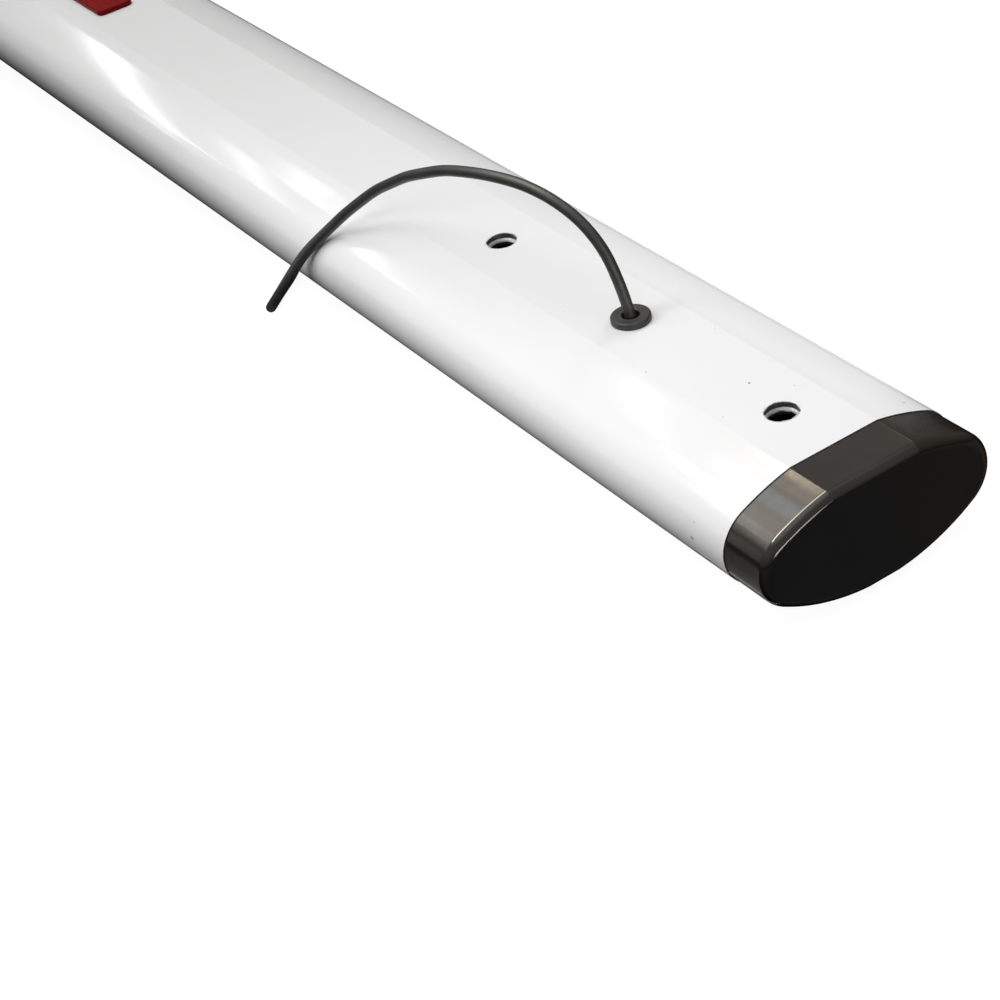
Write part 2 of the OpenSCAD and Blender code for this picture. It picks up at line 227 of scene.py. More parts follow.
# ------------------------------------------------------------------ node tools
class Nodes:
    """Writes small formulas as nodes."""

    def __init__(self, tree):
        self.t = tree

    def new(self, kind, **props):
        n = self.t.nodes.new(kind)
        for k, v in props.items():
            setattr(n, k, v)
        return n

    def put(self, sock, val):
        if isinstance(val, bpy.types.NodeSocket):
            self.t.links.new(val, sock)
        else:
            sock.default_value = val

    def math(self, op, a, b=0.0, c=0.0, clamp=False):
        n = self.new("ShaderNodeMath", operation=op, use_clamp=clamp)
        self.put(n.inputs[0], a)
        self.put(n.inputs[1], b)
        self.put(n.inputs[2], c)
        return n.outputs[0]

    def add(self, a, b):
        return self.math("ADD", a, b)

    def mul(self, a, b):
        return self.math("MULTIPLY", a, b)

    def step(self, x, a, b):
        n = self.new("ShaderNodeMapRange", interpolation_type="SMOOTHSTEP")
        self.put(n.inputs["Value"], x)
        n.inputs["From Min"].default_value = min(a, b)
        n.inputs["From Max"].default_value = max(a, b)
        n.inputs["To Min"].default_value = 0.0 if a < b else 1.0
        n.inputs["To Max"].default_value = 1.0 if a < b else 0.0
        return n.outputs["Result"]

    def span(self, x, lo, hi, e):
        """1 between lo and hi, with soft edges e wide."""
        return self.mul(self.step(x, lo - e, lo + e), self.step(x, hi + e, hi - e))

    def scaled(self, colour, k):
        n = self.new("ShaderNodeVectorMath", operation="SCALE")
        self.put(n.inputs[0], colour)
        self.put(n.inputs["Scale"], k)
        return n.outputs[0]

    def vadd(self, a, b):
        n = self.new("ShaderNodeVectorMath", operation="ADD")
        self.put(n.inputs[0], a)
        self.put(n.inputs[1], b)
        return n.outputs[0]

    def distance(self, a, b):
        n = self.new("ShaderNodeVectorMath", operation="DISTANCE")
        self.put(n.inputs[0], a)
        self.put(n.inputs[1], b)
        return n.outputs["Value"]

    def mix(self, k, a, b):
        n = self.new("ShaderNodeMix", data_type="RGBA")
        self.put(n.inputs["Factor"], k)
        self.put(n.inputs[6], a)
        self.put(n.inputs[7], b)
        return n.outputs[2]

    def noise(self, vec, scale, detail=3.0, rough=0.55, stretch=None, offset=(0, 0, 0)):
        if stretch is not None or offset != (0, 0, 0):
            mp = self.new("ShaderNodeMapping")
            self.put(mp.inputs["Vector"], vec)
            mp.inputs["Scale"].default_value = stretch or (1, 1, 1)
            mp.inputs["Location"].default_value = offset
            vec = mp.outputs[0]
        n = self.new("ShaderNodeTexNoise")
        self.put(n.inputs["Vector"], vec)
        n.inputs["Scale"].default_value = scale
        n.inputs["Detail"].default_value = detail
        n.inputs["Roughness"].default_value = rough
        return n.outputs["Fac"]

    def bump(self, height, dist, strength=1.0, normal=None):
        n = self.new("ShaderNodeBump")
        n.inputs["Strength"].default_value = strength
        n.inputs["Distance"].default_value = dist
        self.put(n.inputs["Height"], height)
        if normal is not None:
            self.put(n.inputs["Normal"], normal)
        return n.outputs[0]


def rgba(c):
    return (c[0], c[1], c[2], 1.0)


def material(name, base, rough, metal=0.0, spec=0.5, coat=0.0, coat_rough=0.1, var=0.07, var_scale=45.0,
             tint=None, rough_var=0.08, rough_scale=160.0, fine=(2500.0, 0.00001), broad=None, stretch=None,
             wear=None, extra=None):
    """A procedural finish: colour that varies, roughness that varies, two scales of bump, and light wear."""
    mt = bpy.data.materials.new(name)
    mt.use_nodes = True
    nt = mt.node_tree
    nt.nodes.clear()
    N = Nodes(nt)
    out = N.new("ShaderNodeOutputMaterial")
    sh = N.new("ShaderNodeBsdfPrincipled")
    nt.links.new(sh.outputs[0], out.inputs[0])
    pos = N.new("ShaderNodeTexCoord").outputs["Object"]
    sh.inputs["Metallic"].default_value = metal
    sh.inputs["Specular IOR Level"].default_value = spec
    sh.inputs["Coat Weight"].default_value = coat
    sh.inputs["Coat Roughness"].default_value = coat_rough
    v = N.noise(pos, var_scale, 4.0, 0.6, stretch)
    dark = tuple(c * (1 - var) for c in base)
    light = tuple(min(1.0, c * (1 + var)) for c in (tint or base))
    col = N.mix(N.step(v, 0.3, 0.7), rgba(dark), rgba(light))
    rn = N.noise(pos, rough_scale, 3.0, 0.6, stretch, (3.1, 1.7, 0.4))
    rg = N.add(rough - rough_var * 0.5, N.mul(rn, rough_var))
    nrm = None
    if broad:
        nrm = N.bump(N.noise(pos, broad[0], 2.0, 0.5, stretch, (7.0, 2.0, 5.0)), broad[1])
    nrm = N.bump(N.noise(pos, fine[0], 2.0, 0.5, stretch), fine[1], 1.0, nrm)
    if wear:
        w = N.step(N.noise(pos, wear[0], 6.0, 0.7, wear[3] if len(wear) > 3 else None, (1.3, 8.8, 2.2)), wear[1], wear[1] + 0.05)
        col = N.mix(N.mul(w, wear[4] if len(wear) > 4 else 0.6), col, rgba(wear[2]))
        rg = N.add(rg, N.mul(w, 0.12))
    if extra:
        col, rg, nrm = extra(N, pos, col, rg, nrm)
    N.put(sh.inputs["Base Color"], col)
    N.put(sh.inputs["Roughness"], rg)
    N.put(sh.inputs["Normal"], nrm)
    mt.diffuse_color = rgba(base)
    return mt


# ------------------------------------------------------------------ measures shared with the CAD
X_END, X_TIP = -105.0, 2895.0
FLOOR = -43.0
LAMP_X = [466.0 + 500.0 * i for i in range(5)]
LAMP_Y = 2.0
HOLES = [(-80.0, 5.5), (80.0, 5.5)]

# ------------------------------------------------------------------ cord first
ROUTE = [[0, 0, 0], [1, 0.2, 6], [3, 1, 15], [7, 2, 25], [14.5, 4.3, 34], [25, 7.5, 40], [37, 11, 43],
         [50, 15, 43.5], [62.5, 18, 42], [75, 20, 39], [87, 22, 34.5], [98.5, 23, 29.5],
         [109.5, 24, 23.5], [120, 25.5, 17.5], [129.5, 28.5, 10.5], [137.5, 32.7, 3.7],
         [144, 38.7, -3.6], [147.6, 43.3, -8.2], [150.2, 47.5, -12.5], [153, 53, -19.5],
         [157, 57.5, -27], [163.5, 59, -34.3], [170.5, 56.5, -38.6], [177, 51.5, -40.5],
         [183, 45, -41], [188, 39, -41], [195, 32, -41], [204.5, 28, -41], [213, 27.5, -41],
         [222, 27.5, -41], [240, 27.5, -41], [275, 27.5, -41], [320, 27.5, -41], [375, 27.5, -41],
         [425, 27.5, -41], [465, 27.5, -41], [486, 27.6, -41], [500, 28.8, -41], [513, 32, -41],
         [525, 36.8, -41], [537, 42.6, -41], [548, 48.2, -40.7], [560, 52, -40]]
TAIL = [[560, 56, -32], [577, 56, -31.8], [592, 57, -34.2], [603, 58, -35.9], [612, 58, -36]]


def catmull(p, per):
    out = []
    n = len(p) - 1
    for i in range(n):
        a, b, c, d = (Vector(p[max(i - 1, 0)]), Vector(p[i]), Vector(p[i + 1]), Vector(p[min(i + 2, n)]))
        k = max(2, int(math.ceil((c - b).length / per)))
        for j in range(k):
            t = j / k
            out.append(0.5 * ((2 * b) + (c - a) * t + (2 * a - 5 * b + 4 * c - d) * t * t
                              + (3 * b - a - 3 * c + d) * t * t * t))
    out.append(Vector(p[-1]))
    return out


def coil_points():
    cx, cy = 560.0, 78.0
    turns = [(26, 22, -40, -40), (22, 18, -40, -40), (18, 18, -40, -36), (18, 22, -36, -36),
             (22, 26, -36, -36), (26, 22, -36, -32), (22, 22, -32, -32)]
    out = []
    for i, (r0, r1, z0, z1) in enumerate(turns):
        for k in range(72):
            a = k / 72.0
            if i == 5:
                z = lerp(z0, z1, smooth((a - 0.50) / 0.26))
                r = lerp(r0, r1, smooth((a - 0.80) / 0.20))
            elif i == 2:
                z = lerp(z0, z1, smooth((a - 0.72) / 0.26))
                r = r0
            else:
                z = z0
                r = lerp(r0, r1, smooth((a - 0.80) / 0.20))
            t = math.radians(-90 + 360 * a)
            out.append(Vector((cx + r * math.cos(t), cy + r * math.sin(t), z)))
    return out


cord_pts = catmull(ROUTE, 2.0)[:-1] + coil_points() + catmull(TAIL, 2.0)
for _ in range(5):                                                 # a cable bends evenly: ease the free arc
    soft = [(cord_pts[i - 1] + cord_pts[i] * 2.0 + cord_pts[i + 1]) * 0.25 for i in range(12, 190)]
    cord_pts[12:190] = soft
curve = bpy.data.curves.new("lighting_cable", "CURVE")
curve.dimensions = "3D"
curve.bevel_depth = 1.0
curve.bevel_resolution = 6
curve.use_fill_caps = True
sp = curve.splines.new("POLY")
sp.points.add(len(cord_pts) - 1)
sp.points.foreach_set("co", [c for p in cord_pts for c in (p.x * MM, p.y * MM, p.z * MM, 1.0)])
sp.points.foreach_set("radius", [2.0 * MM] * len(cord_pts))
sp.use_smooth = True
cable = bpy.data.objects.new("lighting_cable", curve)
scene.collection.objects.link(cable)
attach(cable, "boom")
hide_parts("light_cable", "light_cable_coil", "light_cable_tail")


# ------------------------------------------------------------------ the boom's section
YC, ZC, R_EDGE = 30.0, -19.7916, 15.0
R_SH, ZS = 88.0, -86.3424
R_BK, ZB = 72.431, 29.181
A_TOP, A_BOT = math.radians(24.27), math.radians(31.49)


def half_section(t, crease, n=(4, 9, 44, 24)):
    """Points (y, z, ny, nz) down the +Y side from the flat strip's edge to the rest flat's edge, set in by t."""
    r1, r2, r3 = R_SH - t, R_BK - t, R_EDGE - t
    yf = math.sqrt((r1 - crease) ** 2 - (-t - crease - ZS) ** 2)
    a1 = math.atan2(yf, -t - crease - ZS)
    a9 = math.acos((43.0 - t + ZB) / r2)
    out = []
    for k in range(n[0] + 1):
        a = a1 * k / n[0]
        out.append((yf + crease * math.sin(a), -t - crease + crease * math.cos(a), math.sin(a), math.cos(a)))
    for k in range(1, n[1] + 1):
        a = lerp(a1, A_TOP, k / n[1])
        out.append((r1 * math.sin(a), ZS + r1 * math.cos(a), math.sin(a), math.cos(a)))
    for k in range(1, n[2] + 1):
        a = lerp(A_TOP, math.pi - A_BOT, k / n[2])
        out.append((YC + r3 * math.sin(a), ZC + r3 * math.cos(a), math.sin(a), math.cos(a)))
    for k in range(1, n[3] + 1):
        a = lerp(math.pi - A_BOT, math.pi - a9, k / n[3])
        out.append((r2 * math.sin(a), ZB + r2 * math.cos(a), math.sin(a), math.cos(a)))
    return out


def rounded_half(w, h, r, ztop, n=8):
    """The +Y side of a round-cornered box section, from the top flat's edge to the bottom flat's edge."""
    out = []
    for k in range(n + 1):
        a = math.pi / 2 * k / n
        out.append((w / 2 - r + r * math.sin(a), ztop - r + r * math.cos(a), math.sin(a), math.cos(a)))
    for k in range(n + 1):
        a = math.pi / 2 * (1 + k / n)
        out.append((w / 2 - r + r * math.sin(a), ztop - h + r + r * math.cos(a), math.sin(a), math.cos(a)))
    return out


def mirrored(h):
    return [(-y, z, -ny, nz) for (y, z, ny, nz) in h[::-1]]


def wall_strips(sh, half, xs, inward, mat, side=1):
    """The curved side of a section along the stations xs. inward turns it to face the inside."""
    s = -1.0 if inward else 1.0
    for x0, x1 in zip(xs, xs[1:]):
        for p, q in zip(half, half[1:]):
            pts = [(x0, side * p[0], p[1]), (x1, side * p[0], p[1]), (x1, side * q[0], q[1]), (x0, side * q[0], q[1])]
            np_, nq = (0, s * side * p[2], s * p[3]), (0, s * side * q[2], s * q[3])
            sh.face(pts, [np_, np_, nq, nq], mat)


def flat_with_holes(sh, xs, yh, z, nz, loops, mat):
    """A flat strip |y| <= yh at height z along the stations, with hole loops [(x, [(x, y)...])]."""
    nrm = (0, 0, nz)
    for x0, x1 in zip(xs, xs[1:]):
        inside = [lp for (hx, lp) in loops if x0 < hx < x1]
        if not inside:
            sh.face([(x0, -yh, z), (x1, -yh, z), (x1, yh, z), (x0, yh, z)], [nrm] * 4, mat)
            continue
        verts = [Vector((x0, -yh)), Vector((x1, -yh)), Vector((x1, yh)), Vector((x0, yh))]
        edges = [(0, 1), (1, 2), (2, 3), (3, 0)]
        for lp in inside:
            b = len(verts)
            verts += [Vector(p) for p in lp]
            edges += [(b + k, b + (k + 1) % len(lp)) for k in range(len(lp))]
        co, _, faces, _, _, _ = geometry.delaunay_2d_cdt(verts, edges, [], 1, 1e-6)
        for f in faces:
            c = sum((co[i] for i in f), Vector((0, 0))) / len(f)
            if any(point_in(c, lp) for lp in inside):
                continue
            sh.face([(co[i].x, co[i].y, z) for i in f], [nrm] * len(f), mat)


def point_in(p, lp):
    res = False
    for (ax, ay), (bx, by) in zip(lp, lp[1:] + lp[:1]):
        if (ay > p.y) != (by > p.y) and p.x < (bx - ax) * (p.y - ay) / (by - ay) + ax:
            res = not res
    return res


def hole_wall(sh, rings, mats):
    """rings are [(loop of (x, y), z)]; joins each to the next, facing the hole's middle."""
    for (l0, z0), (l1, z1), mt in zip(rings, rings[1:], mats):
        n = len(l0)
        cx, cy = sum(p[0] for p in l0) / n, sum(p[1] for p in l0) / n
        for k in range(n):
            j = (k + 1) % n
            pts = [(l0[k][0], l0[k][1], z0), (l0[j][0], l0[j][1], z0), (l1[j][0], l1[j][1], z1), (l1[k][0], l1[k][1], z1)]
            dr = math.hypot(l1[k][0] - cx, l1[k][1] - cy) - math.hypot(l0[k][0] - cx, l0[k][1] - cy)
            dz = z1 - z0
            nn = []
            for p in (l0[k], l0[j], l1[j], l1[k]):
                u = unit((cx - p[0], cy - p[1]))
                q = unit((u[0] * abs(dz), u[1] * abs(dz), abs(dr) * (1 if (dz < 0) == (dr < 0) else -1) if abs(dr) > 1e-6 else 0.0))
                nn.append(q)
            sh.face(pts, nn, mt)


def circle(x, y, r, seg=72, seed=None, amp=0.0, freq=2.2):
    out = []
    for k in range(seg):
        a = 2 * math.pi * k / seg
        rr = r
        if seed is not None:
            rr += amp * noise.noise(Vector((freq * math.cos(a) + seed, freq * math.sin(a), seed * 0.7)))
            rr += 0.45 * amp * noise.noise(Vector((3.4 * freq * math.cos(a), 3.4 * freq * math.sin(a) + seed, seed)))
        out.append((x + rr * math.cos(a), y + rr * math.sin(a)))
    return out


def end_ring(sh, half_o, half_i, x, nx, mat):
    """The cut end of a hollow section: joins the outer and the inner outline point by point."""
    full_o = half_o + mirrored(half_o)
    full_i = half_i + mirrored(half_i)
    n = len(full_o)
    for k in range(n):
        j = (k + 1) % n
        sh.face([(x, full_o[k][0], full_o[k][1]), (x, full_o[j][0], full_o[j][1]),
                 (x, full_i[j][0], full_i[j][1]), (x, full_i[k][0], full_i[k][1])], [(nx, 0, 0)] * 4, mat)


# ------------------------------------------------------------------ materials
def paint_extra(N, pos, col, rg, nrm):
    # rubbed and chipped paint round the bolt holes, and a few dust specks in the powder coat
    sep = N.new("ShaderNodeSeparateXYZ")
    N.put(sep.inputs[0], pos)
    x, y, z = sep.outputs
    chip = None
    for hx in (-0.080, 0.080):
        dx = N.add(x, -hx)
        r = N.math("SQRT", N.add(N.mul(dx, dx), N.mul(y, y)))
        near = N.mul(N.step(r, 0.0066, 0.0056), N.step(z, -0.004, -0.001))
        chip = near if chip is None else N.math("MAXIMUM", chip, near)
    ragged = N.noise(pos, 1500.0, 4.0, 0.7)
    edge = N.step(N.add(ragged, N.mul(chip, 0.42)), 0.86, 0.92)
    col = N.mix(N.mul(edge, 0.75), col, (0.30, 0.30, 0.30, 1))
    vor = N.new("ShaderNodeTexVoronoi")
    N.put(vor.inputs["Vector"], pos)
    vor.inputs["Scale"].default_value = 52.0
    spot = N.step(vor.outputs["Distance"], 0.016, 0.007)
    csep = N.new("ShaderNodeSeparateColor")
    N.put(csep.inputs[0], vor.outputs["Color"])
    speck = N.mul(spot, N.step(csep.outputs[0], 0.86, 0.90))
    col = N.mix(N.mul(speck, 0.55), col, (0.12, 0.115, 0.11, 1))
    # small nicks in the paint near the mounting end: place, size, strength
    for nx, ny, nz, nr, k in ((-29.6, 15.6, 0, 0.42, 0.45), (-59.8, -3.1, 0, 0.50, 0.85), (-68.8, 14.3, 0, 0.34, 0.40),
                              (-25.5, -15.8, 0, 0.34, 0.35), (-54.3, -16.0, 0, 0.30, 0.35), (-89.3, 45.0, -19.6, 0.85, 0.55),
                              (-90.0, 43.9, -13.9, 0.50, 0.30), (-71.5, -12.0, 0, 0.36, 0.35), (22.0, 12.4, 0, 0.32, 0.30),
                              (-96.5, -27.5, -3.6, 0.8, 0.5), (-98.6, -33.0, -5.4, 0.9, 0.5)):
        q = N.distance(pos, (nx / 1000.0, ny / 1000.0, nz / 1000.0))
        col = N.mix(N.mul(N.step(N.add(q, N.mul(N.add(ragged, -0.5), nr * 0.0012)), nr / 1000.0, nr * 0.0006), k), col, (0.13, 0.125, 0.12, 1))
    rg = N.add(rg, N.mul(edge, 0.25))
    nrm = N.bump(N.noise(pos, 230.0, 3.0, 0.6, (0.5, 1, 1), (5.0, 0.3, 2.0)), 0.0000035, 1.0, nrm)   # orange peel
    return col, rg, nrm


def cap_extra(N, pos, col, rg, nrm):
    # scuffs: thin pale scratches in two directions, pale dots, and a duller gloss on the scratches
    n1 = N.noise(pos, 300.0, 5.0, 0.7, (0.25, 2.2, 2.2), (4, 1, 9))
    n2 = N.noise(pos, 260.0, 5.0, 0.7, (2.4, 0.3, 1.4), (2, 7, 3))
    s = N.math("MAXIMUM", N.step(n1, 0.70, 0.76), N.step(n2, 0.71, 0.77))
    col = N.mix(N.mul(s, 0.35), col, (0.20, 0.18, 0.155, 1))
    dots = N.new("ShaderNodeTexVoronoi")
    N.put(dots.inputs["Vector"], pos)
    dots.inputs["Scale"].default_value = 210.0
    csep = N.new("ShaderNodeSeparateColor")
    N.put(csep.inputs[0], dots.outputs["Color"])
    d = N.mul(N.step(dots.outputs["Distance"], 0.06, 0.02), N.step(csep.outputs[1], 0.90, 0.94))
    col = N.mix(N.mul(d, 0.5), col, (0.24, 0.22, 0.19, 1))
    rg = N.add(rg, N.mul(s, 0.15))
    return col, rg, nrm


M = {}
M["paint"] = material("white_powder_coat", (0.87, 0.87, 0.872), 0.072, spec=0.36, coat=0.0, var=0.012, var_scale=14.0,
                      rough_var=0.03, fine=(620.0, 0.0000035), broad=(60.0, 0.000012), extra=paint_extra)
M["alu"] = material("bare_aluminium", (0.58, 0.585, 0.59), 0.34, metal=1.0, var=0.14, var_scale=220.0,
                    rough_var=0.16, fine=(1800.0, 0.00002), stretch=(0.12, 1, 1), wear=(600.0, 0.62, (0.8, 0.8, 0.8)))
# a darker copy of the bare aluminium for the tube's hole walls and the lower parts of the stiffener's holes: painted
# shade inside the holes, partly the duller drilled and oxidised surface
M["alu_hole"] = material("drilled_aluminium_painted_shade", (0.20, 0.20, 0.20), 0.42, metal=0.85, var=0.3, var_scale=900.0,
                         rough_var=0.2, fine=(2600.0, 0.00006), stretch=(1, 1, 3.5))
# a whiter, nearly non-metallic copy of aluminium for the top of the stiffener's bolt holes: painted highlight, so the
# cut edge reads bright though it lies in the hole's shade
M["alu_bright"] = material("cut_aluminium_painted_highlight", (0.98, 0.98, 0.98), 0.30, metal=0.12, var=0.25, var_scale=1200.0,
                           rough_var=0.2, fine=(2400.0, 0.00007), stretch=(1, 1, 4.0))
M["cap"] = material("cap_plastic", (0.0142, 0.0126, 0.0106), 0.11, spec=0.85, var=0.22, var_scale=60.0,
                    rough_var=0.10, rough_scale=300.0, fine=(1500.0, 0.000006), broad=(60.0, 0.00005), extra=cap_extra)
M["grommet"] = material("grommet_rubber", (0.038, 0.038, 0.038), 0.48, spec=0.5, var=0.2, var_scale=260.0,
                        rough_var=0.14, fine=(3200.0, 0.00003), broad=(300.0, 0.00006))
M["cable"] = material("cable_sheath", (0.025, 0.025, 0.026), 0.50, spec=1.0, var=0.22, var_scale=120.0,
                      rough_var=0.12, rough_scale=400.0, fine=(3000.0, 0.00002), broad=(220.0, 0.00005))
M["tie"] = material("tie_nylon", (0.035, 0.035, 0.035), 0.38, var=0.2, var_scale=400.0, fine=(2600.0, 0.00002))
M["boot"] = material("boot_rubber", (0.04, 0.04, 0.04), 0.55, var=0.2, var_scale=300.0, fine=(2600.0, 0.00005))
M["plug"] = material("plug_plastic", (0.05, 0.05, 0.052), 0.36, var=0.16, var_scale=240.0, fine=(2400.0, 0.00004),
                     wear=(420.0, 0.66, (0.16, 0.16, 0.16)))
M["insert"] = material("insert_plastic", (0.66, 0.64, 0.58), 0.42, var=0.08, var_scale=300.0, fine=(2400.0, 0.00002))
M["brass"] = material("contact_brass", (0.80, 0.64, 0.30), 0.22, metal=1.0, var=0.12, var_scale=900.0, fine=(3000.0, 0.00001))
M["seal"] = material("seal_silicone", (0.50, 0.07, 0.03), 0.42, var=0.1, var_scale=500.0, fine=(2600.0, 0.00002))
M["nylon"] = material("natural_nylon", (0.74, 0.73, 0.68), 0.40, var=0.07, var_scale=160.0, fine=(2200.0, 0.00003))
M["splice"] = material("splice_plastic", (0.10, 0.13, 0.17), 0.32, var=0.14, var_scale=160.0, fine=(2000.0, 0.00003))
M["lamp_wire"] = material("lamp_wire_red", (0.36, 0.03, 0.03), 0.40, var=0.12, var_scale=240.0, fine=(2600.0, 0.00002))
M["foam"] = material("gasket_foam", (0.04, 0.04, 0.04), 0.85, spec=0.3, var=0.3, var_scale=1400.0, fine=(1800.0, 0.00025))
M["lens"] = material("lens_red", (0.212, 0.0030, 0.0030), 0.30, spec=0.06, var=0.10, var_scale=60.0,
                     fine=(900.0, 0.00001), broad=(140.0, 0.00003), wear=(380.0, 0.68, (0.32, 0.05, 0.045)))
M["board"] = material("board_white", (0.80, 0.80, 0.76), 0.38, var=0.05, var_scale=300.0, fine=(2200.0, 0.00001))
M["led"] = material("led_phosphor", (0.86, 0.72, 0.22), 0.26, var=0.1, var_scale=700.0, fine=(2600.0, 0.00001))
M["resistor"] = material("resistor_black", (0.03, 0.03, 0.032), 0.36, var=0.2, var_scale=900.0, fine=(2600.0, 0.00001))

# ------------------------------------------------------------------ boom tube
sec_o = half_section(0.0, 4.0)
sec_i = half_section(2.0, 1.6)
stations = [X_END]
marks = sorted([X_END, X_TIP] + [h[0] + d for h in HOLES for d in (-13, 13)] + [-13, 13]
               + [lx + d for lx in LAMP_X for d in (-13, 13)])
for a, b in zip(marks, marks[1:]):
    k = max(1, int(math.ceil((b - a) / (26.0 if a < 400 else 120.0))))
    if b - a < 27:
        k = 1
    stations += [lerp(a, b, (j + 1) / k) for j in range(k)]

tube = Shape()
for side in (1, -1):
    wall_strips(tube, sec_o, stations, False, 0, side)
    wall_strips(tube, sec_i, stations, True, 1, side)


def drilled(x, r, seed, z_out, z_in, ragged, mat_rim, mat_wall):
    """Rings of a drilled hole through one wall, with a ragged painted rim outside."""
    s = -1.0 if z_in < z_out else 1.0
    rim = circle(x, 0.0, r, seed=seed, amp=ragged)
    lip = circle(x, 0.0, r - 0.06, seed=seed + 3.3, amp=ragged * 0.75)
    burr = circle(x, 0.0, r - 0.02, seed=seed + 7.1, amp=ragged * 0.35)
    inner = circle(x, 0.0, r)
    rings = [(rim, z_out), (lip, z_out + s * 0.16), (burr, z_out + s * 0.5), (inner, z_in)]
    return rim, inner, rings, [mat_rim, mat_wall, mat_wall]


top_loops, top_in, bot_loops, bot_in = [], [], [], []
# every hole wall in the tube takes slot 2, the darkened aluminium with painted shade
for i, (hx, hr) in enumerate(HOLES):
    rim, inner, rings, mats = drilled(hx, hr, 5.3 + 9 * i, 0.0, -2.0, 0.46, 2, 2)
    top_loops.append((hx, rim))
    top_in.append((hx, inner))
    hole_wall(tube, rings, mats)
    rim, inner, rings, mats = drilled(hx, hr, 31.0 + 9 * i, -43.0, -41.0, 0.2, 2, 2)
    bot_loops.append((hx, rim))
    bot_in.append((hx, inner))
    hole_wall(tube, rings, mats)
for hx, hy, hr in [(0.0, 0.0, 5.0)] + [(lx, LAMP_Y, 3.0) for lx in LAMP_X]:
    lp = circle(hx, hy, hr, 48)
    top_loops.append((hx, lp))
    top_in.append((hx, lp))
    hole_wall(tube, [(lp, 0.0), (lp, -2.0)], [2])
flat_with_holes(tube, stations, sec_o[0][0], 0.0, 1.0, top_loops, 0)
flat_with_holes(tube, stations, sec_i[0][0], -2.0, -1.0, top_in, 1)
flat_with_holes(tube, stations, sec_o[-1][0], -43.0, -1.0, bot_loops, 0)
flat_with_holes(tube, stations, sec_i[-1][0], -41.0, 1.0, bot_in, 1)
end_ring(tube, sec_o, sec_i, X_END, -1.0, 1)
end_ring(tube, sec_o, sec_i, X_TIP, 1.0, 1)
boom = tube.build("boom_extrusion", [M["paint"], M["alu"], M["alu_hole"]], "boom", "white_powder_coat", ["boom_tube"])

# ------------------------------------------------------------------ stiffener inside the mounting end
st = Shape()
so = rounded_half(33.0, 37.0, 2.0, -2.0)
si = rounded_half(28.0, 32.0, 1.0, -4.5)
xs = [-101.0, -93.0, -67.0, -40.0, -13.0, 13.0, 40.0, 67.0, 93.0, 129.0]
for side in (1, -1):
    wall_strips(st, so, xs, False, 0, side)
    wall_strips(st, si, xs, True, 0, side)
to, ti, bo, bi = [], [], [], []
for i, (hx, hr) in enumerate(HOLES):
    a = circle(hx, 0, hr + 0.05, seed=51.0 + i, amp=0.10)
    b = circle(hx, 0, hr - 0.42, seed=57.0 + i, amp=0.30)
    b2 = circle(hx, 0, hr - 0.5, seed=59.0 + i, amp=0.16)
    c = circle(hx, 0, hr - 0.25)
    # the upper rings of each stiffener hole take slot 1, the aluminium with painted highlight; the lowest ring takes
    # slot 2, the aluminium with painted shade
    hole_wall(st, [(a, -2.0), (b, -2.7), (b2, -3.3), (c, -4.5)], [1, 1, 2])
    to.append((hx, a))
    ti.append((hx, c))
    d = circle(hx, 0, hr)
    hole_wall(st, [(d, -39.0), (d, -36.5)], [2])
    bo.append((hx, d))
    bi.append((hx, d))
g = circle(0, 0, 5.0, 48)
hole_wall(st, [(g, -2.0), (g, -4.5)], [2])
to.append((0.0, g))
ti.append((0.0, g))
flat_with_holes(st, xs, so[0][0], -2.0, 1.0, to, 0)
flat_with_holes(st, xs, si[0][0], -4.5, -1.0, ti, 0)
flat_with_holes(st, xs, so[-1][0], -39.0, -1.0, bo, 0)
flat_with_holes(st, xs, si[-1][0], -36.5, 1.0, bi, 0)
end_ring(st, so, si, -101.0, -1.0, 0)
end_ring(st, so, si, 129.0, 1.0, 0)
st.build("stiffener_tube", [M["alu"], M["alu_bright"], M["alu_hole"]], "boom", "bare_aluminium", ["mount_stiffener"])


